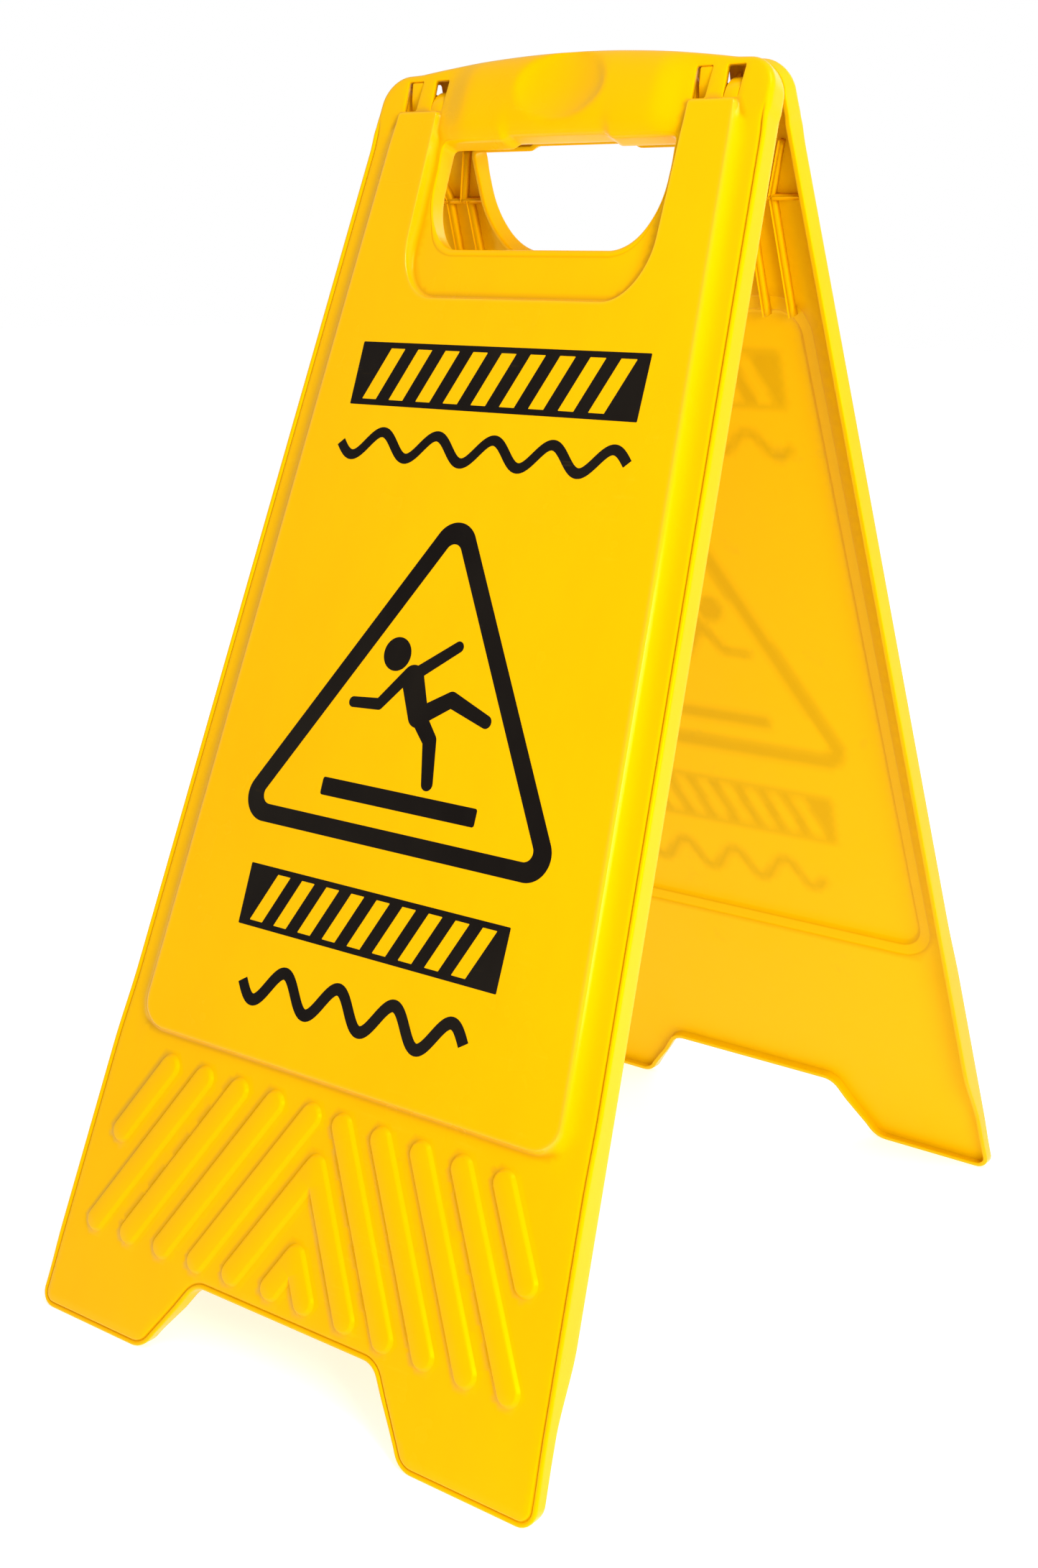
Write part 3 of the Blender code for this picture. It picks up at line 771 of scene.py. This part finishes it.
SIDES = (("front", False), ("rear", True))
for side, turned in SIDES:
    panel = weld(side + "_moulding", skin, turned, MARKS_OF_SKIN)
    keep(panel, side, "yellow_polypropylene", side + "_panel")

# %% [markdown]
# ## Hinge hooks, pins and cheeks
# Each panel has two C-shaped hooks and two short pins held between cheeks, moulded
# with it; turned end for end, hooks meet pins. A sloping lead-in over each pin guides
# the hook home. Every one is a flat profile in (v, n) carried across the panel, with
# its two end faces slightly rounded. All of them stay clear of the other panel.

# %% Hinge pieces
PIN_R, BORE, HOOK_R = 2.5, 2.85, 5.45
CHEEK_AT, CHEEK_HALF = 6.5, 0.95


def arc(radius, start, end, count, middle=(0, 0)):
    """Points (v, n) on a circle; the angle turns from straight out towards the foot."""
    t = np.radians(np.linspace(start, end, count))
    return np.stack([middle[0] + radius * np.sin(t), middle[1] + radius * np.cos(t)], 1)


def carried(profile, s0, s1, soft=0.45):
    """A (v, n) profile carried from s0 to s1; near both ends it shrinks by a quarter round."""
    direction = inward(profile)
    rings = []
    for t in np.radians((90, 60, 30, 0)):
        rings.append((s0 + soft * (1 - math.sin(t)), soft * (1 - math.cos(t))))
    rings += [(s0 + s1 - s, shrink) for s, shrink in rings[::-1]]
    rings = np.stack([np.column_stack([profile + direction * k, np.full(len(profile), s)])
                      for s, k in rings])
    parts = [band(rings), fill([rings[0]]), fill([rings[-1]])]
    return [(verts[:, [2, 0, 1]], faces) for verts, faces in parts]


hook = sampled(np.concatenate([
    arc(BORE, 128, -128, 40), arc(HOOK_R, -131, -92, 12), arc(11.5, -72, -2, 30, (3.0, 0.2)),
    rounded([(5.0, 11.9, 0), (13.2, 12.2, 1.2), (13.6, 10.4, 1.2), (9.0, 9.0, 5),
             (5.6, 3.0, 3), (5.3, -1.0, 0)], 0.3)[1:],
    arc(HOOK_R, 103, 126, 8)]), 0.55)
cheek = sampled(np.concatenate([
    arc(4.2, -100, -260, 24),
    rounded([(5.4, 3.0, 0), (8.4, 10.0, 4), (-9.0, 10.0, 0.4), (-6.6, 4.6, 4)], 0.4)[1:]]), 0.6)
pin = arc(PIN_R, 0, 348.75, 32)
lead_in = sampled(rounded([(-11.6, 9.6, 0.3), (-9.4, 11.4, 0.6), (-2.0, 9.6, 6), (4.0, 6.6, 0.8),
                           (1.6, 5.8, 0.3), (-4.4, 7.4, 5)], 0.2), 0.6)

for side, turned in SIDES:
    for label, at in (("right", STATIONS[1]), ("left", -STATIONS[0])):
        piece = weld(f"{side}_hook_{label}", carried(hook, at - 3.4, at + 3.6), turned)
        keep(piece, side, "yellow_polypropylene")
    for label, at in (("right", STATIONS[0]), ("left", -STATIONS[1])):
        piece = weld(f"{side}_pin_{label}", carried(pin, at - 6.3, at + 6.3, 0.2), turned)
        keep(piece, side, "yellow_polypropylene")
        piece = weld(f"{side}_lead_in_{label}", carried(lead_in, at - 2.4, at + 5.0, 0.3), turned)
        keep(piece, side, "yellow_polypropylene")
        for edge, off in (("a", -CHEEK_AT), ("b", CHEEK_AT)):
            span = at + off - CHEEK_HALF, at + off + CHEEK_HALF
            piece = weld(f"{side}_cheek_{label}_{edge}", carried(cheek, *span, 0.35), turned)
            keep(piece, side, "yellow_polypropylene")

# %% [markdown]
# ## Stiffening ribs
# Thin ribs stand on the tray's ceiling beside the opening: one across, two leaning
# together above it and two upright below it. A rib is a slab with a rounded free
# edge, drawn from a U-shaped section swept between two points.

# %% Ribs
RIB_HALF, RIB_FOOT, RIB_SUNK, RIB_STEPS = 0.95, 4.5, 0.4, 12


def rib(a, b):
    """Section (offset, n) carried from a to b, tapered to a rounded free edge."""
    a, b = np.array(a, float), np.array(b, float)
    side = np.array([-(b - a)[1], (b - a)[0]]) / np.hypot(*(b - a))
    t = np.radians(np.linspace(0, 180, 9))
    across_rib = np.concatenate([[RIB_HALF + 0.25], (RIB_HALF - 0.2) * np.cos(t),
                                 [-RIB_HALF - 0.25]])
    rise = np.concatenate([[0.0], 1 - 0.12 * np.sin(t), [0.0]])
    rings = []
    for along in np.linspace(0, 1, RIB_STEPS):
        p = a + (b - a) * along
        top = ceiling(*p[:, None])[0] + RIB_SUNK
        n = top + (RIB_FOOT - top) * rise
        rings.append(np.column_stack([p + side * across_rib[:, None], n]))
    rings = np.stack(rings)
    count = rings.shape[1]
    caps = [(rings[k], np.array([[0, i, i + 1] for i in range(1, count - 1)])) for k in (0, -1)]
    return [band(rings)] + caps


RIBS = (((65.6, 45), (109.4, 45)), ((74.5, 20), (83.0, 45.4)), ((100, 20), (90.8, 45.4)),
        ((79, 44.6), (80, 100)), ((91.5, 44.6), (93.5, 100)))
for side, turned in SIDES:
    for edge in (-1, 1):
        for number, (a, b) in enumerate(RIBS):
            piece = weld(f"{side}_rib_{'lr'[edge > 0]}{number}",
                         rib((edge * a[0], a[1]), (edge * b[0], b[1])), turned)
            keep(piece, side, "yellow_polypropylene")

# %% [markdown]
# ## Ink film
# The print is a film of black ink on the flat field. Each mark is a closed, very
# thin slab: outline loops filled flat on top and below, with a rim between. It
# sinks a little into the face so that no gap shows.

# %% Ink film
INK_LOW, INK_HIGH = DEPTH - 0.05, DEPTH + 0.07


def film(loops, joined=False):
    """A slab between INK_LOW and INK_HIGH over the loops: even-odd, or all of them joined.

    The rim stands on every edge that only one of the kept triangles uses."""
    plan, _, faces, _, _, _ = delaunay_2d_cdt(
        [Vector(p) for p in np.concatenate(loops).tolist()], loop_edges(loops), [], 0, 1e-6)
    plan, faces = np.array(plan), np.array(faces)
    loops = [np.float32(loop).astype(float) for loop in loops]
    centre = plan[faces].mean(1)
    groups = [[loop] for loop in loops] if joined else [loops]
    faces = faces[np.any([inside(centre, group) for group in groups], 0)]
    edge = faces[:, [0, 1, 1, 2, 2, 0]].reshape(-1, 2)
    key, reverse = edge @ (len(plan), 1), edge @ (1, len(plan))
    rim_edge = edge[~np.isin(key, reverse)]
    verts = np.concatenate([np.column_stack([plan, np.full(len(plan), z)])
                            for z in (INK_LOW, INK_HIGH)])
    walls = np.column_stack([rim_edge, rim_edge[:, ::-1] + len(plan)])
    return [(verts, np.concatenate([faces, faces + len(plan)])), (verts, walls)]


print("ink stands", round(INK_HIGH - DEPTH, 3), "mm proud of the field")

# %% [markdown]
# ## Printed marks
# A warning triangle frames a plain slipping figure made of round-ended limbs. Hatched
# bands and wave lines above and below it stand in for words, so the sign reads in any
# language. Each mark is drawn as loops and then laid down as ink on both panels.

# %% Ink shapes
def limb(a, b, ra, rb, count=20):
    """A round-ended limb that tapers from radius ra at a to rb at b."""
    a, b = np.array(a), np.array(b)
    axis = (b - a) / np.hypot(*(b - a))
    tilt = math.asin((ra - rb) / np.hypot(*(b - a)))
    base = math.atan2(axis[1], axis[0])
    t = base + np.linspace(-math.pi / 2 + tilt, math.pi / 2 - tilt, count)
    u = base + np.linspace(math.pi / 2 - tilt, 3 * math.pi / 2 + tilt, count)
    return np.concatenate([b + rb * np.stack([np.cos(t), np.sin(t)], 1),
                           a + ra * np.stack([np.cos(u), np.sin(u)], 1)])


def ribbon(half, mid, swing, thick, waves):
    """A sine wave of even width: the centre line moved both ways along its normal."""
    s = np.linspace(-half, half, waves * 40 + 1)
    phase = math.pi * waves * (s / half + 1)
    slope = swing * math.pi * waves / half * np.cos(phase)
    normal = np.stack([-slope, np.ones(len(s))], 1) / np.hypot(1, slope)[:, None]
    line = np.stack([s, mid + swing * np.sin(phase)], 1)
    return np.concatenate([line - normal * thick, (line + normal * thick)[::-1]])


def hazard(half, top, bottom, count=9, rail=2.8, slant=11.0):
    """A framed band with slanting gaps between its bars."""
    frame_loop = rounded([(-half, top, 0.5), (half, top, 0.5), (half, bottom, 0.5),
                          (-half, bottom, 0.5)], 0.2)
    pitch = (2 * half - 2 * rail - slant) / count
    loops = [frame_loop]
    for k in range(count):
        x = -half + rail + pitch * (k + 0.24)
        wide = pitch * 0.52
        loops.append(rounded([(x + slant, top + rail, 0.25), (x + slant + wide, top + rail, 0.25),
                              (x + wide, bottom - rail, 0.25), (x, bottom - rail, 0.25)], 0.15))
    return loops


TRI = np.array([(0, 188.0), (97.0, 349.0), (-97.0, 349.0)])
TRI_MIDDLE, TRI_BAND = np.array([0, 295.33]), 8.5
inner_tri = TRI_MIDDLE + (TRI - TRI_MIDDLE) * (1 - TRI_BAND / (349 - TRI_MIDDLE[1]))
LIMBS = (((-6.6, 271.5), (1.0, 287.5), 6.2, 5.6), ((-5.0, 269.0), (15.0, 254.5), 3.0, 2.6),
         ((-9.5, 270.0), (-22.5, 285.5), 3.0, 2.7), ((-22.5, 285.5), (-37.5, 286.5), 2.7, 2.5),
         ((3.0, 287.0), (17.5, 278.0), 4.2, 3.7), ((17.5, 278.0), (38.5, 285.0), 3.7, 3.0),
         ((1.5, 288.0), (10.5, 297.5), 4.2, 3.8), ((10.5, 297.5), (14.5, 316.5), 3.8, 3.2))
turn = np.linspace(0, 2 * math.pi, 48, endpoint=False)
head = np.array([-18.4, 261.8]) + 7.8 * np.stack([np.cos(turn), np.sin(turn)], 1)
PRINT = {
    "warning_triangle": [rounded([(s, v, 12) for s, v in TRI], 0.6),
                         rounded([(s, v, 4.5) for s, v in inner_tri], 0.4)],
    "figure_head": [head],
    "slip_figure": [limb(*part) for part in LIMBS],
    "floor_bar": [rounded([(-44.7, 322.6, 1.2), (44.7, 322.6, 1.2), (44.7, 330.9, 1.2),
                           (-44.7, 330.9, 1.2)], 0.3)],
    "upper_hazard_band": hazard(81.0, 118.3, 148.5),
    "upper_wave": [ribbon(81.0, 166.8, 5.8, 2.4, 5)],
    "lower_hazard_band": hazard(75.6, 368.5, 397.3),
    "lower_wave": [ribbon(65.0, 421.8, 7.8, 2.8, 4)],
}
for side, turned in SIDES:
    for name, loops in PRINT.items():
        piece = weld(f"{side}_ink_{name}", film(loops, name == "slip_figure"), turned)
        piece.data.shade_flat()
        keep(piece, side, "black_ink", f"{side}_{name}")

# %% [markdown]
# ## The print shines through
# Thin yellow plastic lets light through, so from inside a soft shadow of the print
# shows. Each point of the hollow's ceiling counts how many of seven nearby spots
# lie under ink; the share becomes the `ghost` attribute of the panel.

# %% Ghost of the print
turn = np.radians(60 * np.arange(6))
BLUR = 1.6
spots = BLUR * np.concatenate([[[0, 0]], np.stack([np.cos(turn), np.sin(turn)], 1)])


def inked(points):
    """True where a point (s, v) lies under a mark."""
    under_mark = np.zeros(len(points), bool)
    for name, loops in PRINT.items():
        for group in ([[loop] for loop in loops] if name == "slip_figure" else [loops]):
            under_mark |= inside(points, group)
    return under_mark


for side, _ in SIDES:
    mesh = bpy.data.objects[side + "_moulding"].data
    place = np.zeros(len(mesh.vertices) * 3, np.float32)
    mesh.attributes["place"].data.foreach_get("vector", place)
    place = place.reshape(-1, 3)
    under = np.flatnonzero((np.abs(place[:, 2] - CEILING) < 0.01) & (place[:, 1] > 100))
    ghost = np.zeros(len(place), np.float32)
    for offset in spots:
        ghost[under] += inked(place[under, :2] + offset) / len(spots)
    mesh.attributes["ghost"].data.foreach_set("value", ghost)
    print(side, "ghost reaches", int((ghost > 0.5).sum()), "of", len(under), "ceiling points")

# %% [markdown]
# ## Finishes
# Every finish is a small graph of nodes. These helpers add a node and link its
# sockets in one line, so that the finishes below read as sums of their effects.

# %% Node helpers
def new_group(name, inputs, outputs):
    """An empty shader group with named sockets; returns it with its two end nodes."""
    tree = bpy.data.node_groups.new(name, 'ShaderNodeTree')
    for label, kind, value in inputs:
        socket = tree.interface.new_socket(label, in_out='INPUT', socket_type=kind)
        if value is not None:
            socket.default_value = value
    for label, kind in outputs:
        tree.interface.new_socket(label, in_out='OUTPUT', socket_type=kind)
    return tree, tree.nodes.new('NodeGroupInput'), tree.nodes.new('NodeGroupOutput')


def add(tree, kind, settings=None, **sockets):
    """A node with its settings and its inputs set to values or linked from sockets."""
    made = tree.nodes.new(kind)
    for key, value in (settings or {}).items():
        setattr(made, key, value)
    for key, value in sockets.items():
        key = key.replace("_", " ")
        socket = made.inputs[int(key)] if key.isdigit() else made.inputs[key]
        if isinstance(value, bpy.types.NodeSocket):
            tree.links.new(value, socket)
        else:
            socket.default_value = value
    return made


def sums(tree, operation, a, b=0.0, c=0.0, clamp=False):
    """A Math node's output."""
    made = tree.nodes.new('ShaderNodeMath')
    made.operation, made.use_clamp = operation, clamp
    for socket, value in zip(made.inputs, (a, b, c)):
        if isinstance(value, bpy.types.NodeSocket):
            tree.links.new(value, socket)
        else:
            socket.default_value = value
    return made.outputs[0]


def between(tree, value, low, high):
    """Smoothly 0 below low and 1 above high."""
    made = add(tree, 'ShaderNodeMapRange', {"interpolation_type": 'SMOOTHSTEP'})
    tree.links.new(value, made.inputs["Value"])
    made.inputs["From Min"].default_value, made.inputs["From Max"].default_value = low, high
    return made.outputs["Result"]


def mixed(tree, factor, a, b):
    """Colour a at factor 0, colour b at factor 1."""
    made = tree.nodes.new('ShaderNodeMix')
    made.data_type = 'RGBA'
    for key, value in ((0, factor), (6, a), (7, b)):
        if isinstance(value, bpy.types.NodeSocket):
            tree.links.new(value, made.inputs[key])
        else:
            made.inputs[key].default_value = value
    return made.outputs[2]


print("node helpers ready for Blender", bpy.app.version_string)

# %% [markdown]
# ## Shared effects
# Plastic and ink share three effects, so each is a node group: the faint orange peel
# of a moulded skin, rubbed patches with fine scratches, and slow changes of tone.
# Each finish sets its own amounts.

# %% Shared effects
def peel_group():
    """Moulded skin: a slow wave plus a fine grain, as one height."""
    tree, start, end = new_group("moulded_peel", [("Vector", 'NodeSocketVector', None),
                                                  ("Wave", 'NodeSocketFloat', 1.0),
                                                  ("Grain", 'NodeSocketFloat', 1.0)],
                                 [("Height", 'NodeSocketFloat')])
    wave = add(tree, 'ShaderNodeTexNoise', Vector=start.outputs[0], Scale=38.0, Detail=2.0)
    grain = add(tree, 'ShaderNodeTexNoise', Vector=start.outputs[0], Scale=1400.0, Detail=3.0)
    height = sums(tree, 'ADD', sums(tree, 'MULTIPLY', wave.outputs[0], start.outputs[1]),
                  sums(tree, 'MULTIPLY', grain.outputs[0], start.outputs[2]))
    tree.links.new(height, end.inputs[0])
    return tree


def scuff_group():
    """Rubbed patches and fine scratches: two thin line fields seen only inside patches."""
    tree, start, end = new_group("scuffs", [("Vector", 'NodeSocketVector', None),
                                            ("Amount", 'NodeSocketFloat', 1.0)],
                                 [("Mask", 'NodeSocketFloat'), ("Lines", 'NodeSocketFloat')])
    patch = add(tree, 'ShaderNodeTexNoise', Vector=start.outputs[0], Scale=14.0, Detail=4.0,
                Roughness=0.6)
    lines = []
    for turn, scale in ((0.6, (30, 900, 30)), (-0.9, (40, 1100, 40))):
        place = add(tree, 'ShaderNodeMapping', Vector=start.outputs[0],
                    Rotation=(0.3, turn, turn), Scale=scale)
        noise = add(tree, 'ShaderNodeTexNoise', Vector=place.outputs[0], Scale=1.0, Detail=1.0)
        lines.append(between(tree, noise.outputs[0], 0.68, 0.76))
    patches = between(tree, patch.outputs[0], 0.52, 0.68)
    line = sums(tree, 'MULTIPLY', sums(tree, 'MAXIMUM', *lines), patches)
    amount = start.outputs[1]
    tree.links.new(sums(tree, 'MULTIPLY', patches, amount, clamp=True), end.inputs[0])
    tree.links.new(sums(tree, 'MULTIPLY', line, amount, clamp=True), end.inputs[1])
    return tree


def tone_group():
    """Slow cloudiness between two tones, with faint flow streaks down the panel."""
    tree, start, end = new_group("tone", [("Vector", 'NodeSocketVector', None),
                                          ("Light", 'NodeSocketColor', (1, 1, 1, 1)),
                                          ("Deep", 'NodeSocketColor', (0, 0, 0, 1)),
                                          ("Amount", 'NodeSocketFloat', 0.5)],
                                 [("Color", 'NodeSocketColor')])
    cloud = add(tree, 'ShaderNodeTexNoise', Vector=start.outputs[0], Scale=7.0, Detail=3.0)
    place = add(tree, 'ShaderNodeMapping', Vector=start.outputs[0], Scale=(60, 60, 5))
    streak = add(tree, 'ShaderNodeTexNoise', Vector=place.outputs[0], Scale=1.0, Detail=2.0)
    share = sums(tree, 'MULTIPLY_ADD', between(tree, streak.outputs[0], 0.35, 0.75), 0.3,
                 sums(tree, 'MULTIPLY', between(tree, cloud.outputs[0], 0.3, 0.7), 0.7))
    share = sums(tree, 'MULTIPLY', share, start.outputs[3])
    tree.links.new(mixed(tree, share, start.outputs[1], start.outputs[2]), end.inputs[0])
    return tree


PEEL, SCUFFS, TONE = peel_group(), scuff_group(), tone_group()


def placed(tree, group, **sockets):
    """A shared effect placed in a finish."""
    return add(tree, 'ShaderNodeGroup', {"node_tree": group}, **sockets)


print("shared effects", [group.name for group in (PEEL, SCUFFS, TONE)])

# %% [markdown]
# ## Yellow polypropylene
# The plastic is glossy and slightly waxy. Its colour carries painted shade in creases
# and inside the tray, which is also duller and faintly stained, and a painted shadow
# of the print on the ceiling under it. A yellow tint on the reflection keeps the
# colour deep, and only the field's ridge gets a clear, sharp coat, where a moulding
# tool is polished brightest.

# %% Yellow polypropylene
def plastic():
    """The moulded plastic, steered by the skin's four marks."""
    material = bpy.data.materials.new("yellow_polypropylene_finish")
    material.use_nodes = True
    tree = material.node_tree
    shader = tree.nodes["Principled BSDF"]
    where = add(tree, 'ShaderNodeTexCoord').outputs["Object"]
    marks = [add(tree, 'ShaderNodeAttribute', {"attribute_name": name}) for name in MARKS_OF_SKIN]
    crease, inner, ridge, ghost = (mark.outputs["Fac"] for mark in marks)
    tone = placed(tree, TONE, Vector=where, Light=(0.93, 0.49, 0.0, 1),
                  Deep=(0.90, 0.45, 0.0, 1), Amount=0.8)
    scuffs = placed(tree, SCUFFS, Vector=where, Amount=0.6)
    colour = mixed(tree, sums(tree, 'MULTIPLY', scuffs.outputs[1], 0.35), tone.outputs[0],
                   (0.95, 0.56, 0.01, 1))
    # Painted shade: the inside of the tray is darker; the inner mark also makes it duller and
    # stained below.
    colour = mixed(tree, sums(tree, 'MULTIPLY', inner, 0.9), colour, (0.80, 0.475, 0.0, 1))
    # Painted shadow of the print, seen through the plastic on the ceiling under it.
    colour = mixed(tree, sums(tree, 'MULTIPLY', ghost, 0.45), colour, (0.44, 0.25, 0.0, 1))
    # Painted shade in creases.
    colour = mixed(tree, sums(tree, 'MULTIPLY', crease, 0.7), colour, (0.62, 0.27, 0.0, 1))
    gloss = sums(tree, 'MULTIPLY_ADD', inner, 0.25,
                 sums(tree, 'MULTIPLY_ADD', scuffs.outputs[0], 0.10, 0.24))
    tree.links.new(gloss, shader.inputs["Roughness"])
    stain = add(tree, 'ShaderNodeTexNoise', Vector=where, Scale=26.0, Detail=5.0, Roughness=0.7)
    stain = sums(tree, 'MULTIPLY', between(tree, stain.outputs[0], 0.62, 0.72), inner)
    colour = mixed(tree, sums(tree, 'MULTIPLY', stain, 0.12), colour, (0.42, 0.26, 0.02, 1))
    tree.links.new(colour, shader.inputs["Base Color"])
    peel = placed(tree, PEEL, Vector=where, Wave=1.0, Grain=0.04)
    bump = add(tree, 'ShaderNodeBump', Height=peel.outputs[0], Strength=0.12, Distance=0.002)
    tree.links.new(bump.outputs[0], shader.inputs["Normal"])
    shader.inputs["IOR"].default_value = 1.49
    shader.inputs["Specular IOR Level"].default_value = 0.3
    shader.inputs["Specular Tint"].default_value = (1.0, 0.7, 0.0, 1)
    tree.links.new(sums(tree, 'MULTIPLY', ridge, 0.9), shader.inputs["Coat Weight"])
    shader.inputs["Coat Roughness"].default_value = 0.12
    return material


# %% [markdown]
# ## Black ink
# The ink is a near-black, satin film that has rubbed thin in places, so a little of
# the warm colour below shows along its scratches.

# %% Black ink
def ink():
    """The printed film."""
    material = bpy.data.materials.new("black_ink_finish")
    material.use_nodes = True
    tree = material.node_tree
    shader = tree.nodes["Principled BSDF"]
    where = add(tree, 'ShaderNodeTexCoord').outputs["Object"]
    tone = placed(tree, TONE, Vector=where, Light=(0.006, 0.004, 0.003, 1),
                  Deep=(0.012, 0.009, 0.006, 1), Amount=1.0)
    scuffs = placed(tree, SCUFFS, Vector=where, Amount=0.7)
    colour = mixed(tree, sums(tree, 'MULTIPLY', scuffs.outputs[1], 0.3), tone.outputs[0],
                   (0.10, 0.06, 0.01, 1))
    tree.links.new(colour, shader.inputs["Base Color"])
    gloss = sums(tree, 'MULTIPLY_ADD', scuffs.outputs[0], 0.15, 0.42)
    tree.links.new(gloss, shader.inputs["Roughness"])
    peel = placed(tree, PEEL, Vector=where, Wave=0.6, Grain=0.12)
    bump = add(tree, 'ShaderNodeBump', Height=peel.outputs[0], Strength=0.15, Distance=0.001)
    tree.links.new(bump.outputs[0], shader.inputs["Normal"])
    shader.inputs["Specular IOR Level"].default_value = 0.06
    return material


FINISH = {"yellow_polypropylene": plastic(), "black_ink": ink()}
for piece in PIECES:
    black = "_ink_" in piece.name
    piece.data.materials.append(FINISH["black_ink" if black else "yellow_polypropylene"])
print("finished", len(PIECES), "pieces")

# %% [markdown]
# ## Floor
# A plain pale floor carries the sign. It glows a little, which lifts the shadow under
# the tent. It is staged, so it isn't part of the object.

# %% Floor
FLOOR_REACH = 12.0
mesh = bpy.data.meshes.new("floor")
mesh.from_pydata([(x * FLOOR_REACH, y * FLOOR_REACH, 0)
                  for x, y in ((-1, -1), (1, -1), (1, 1), (-1, 1))], [], [(0, 1, 2, 3)])
floor = bpy.data.objects.new("floor", mesh)
bpy.context.scene.collection.objects.link(floor)
pale = bpy.data.materials.new("pale_floor")
pale.use_nodes = True
for label, value in (("Base Color", (0.9, 0.9, 0.9, 1)), ("Roughness", 0.7),
                     ("Specular IOR Level", 0.2), ("Emission Color", (1, 1, 1, 1)),
                     ("Emission Strength", 0.5)):
    pale.node_tree.nodes["Principled BSDF"].inputs[label].default_value = value
mesh.materials.append(pale)
print("floor reaches", FLOOR_REACH, "m each way")
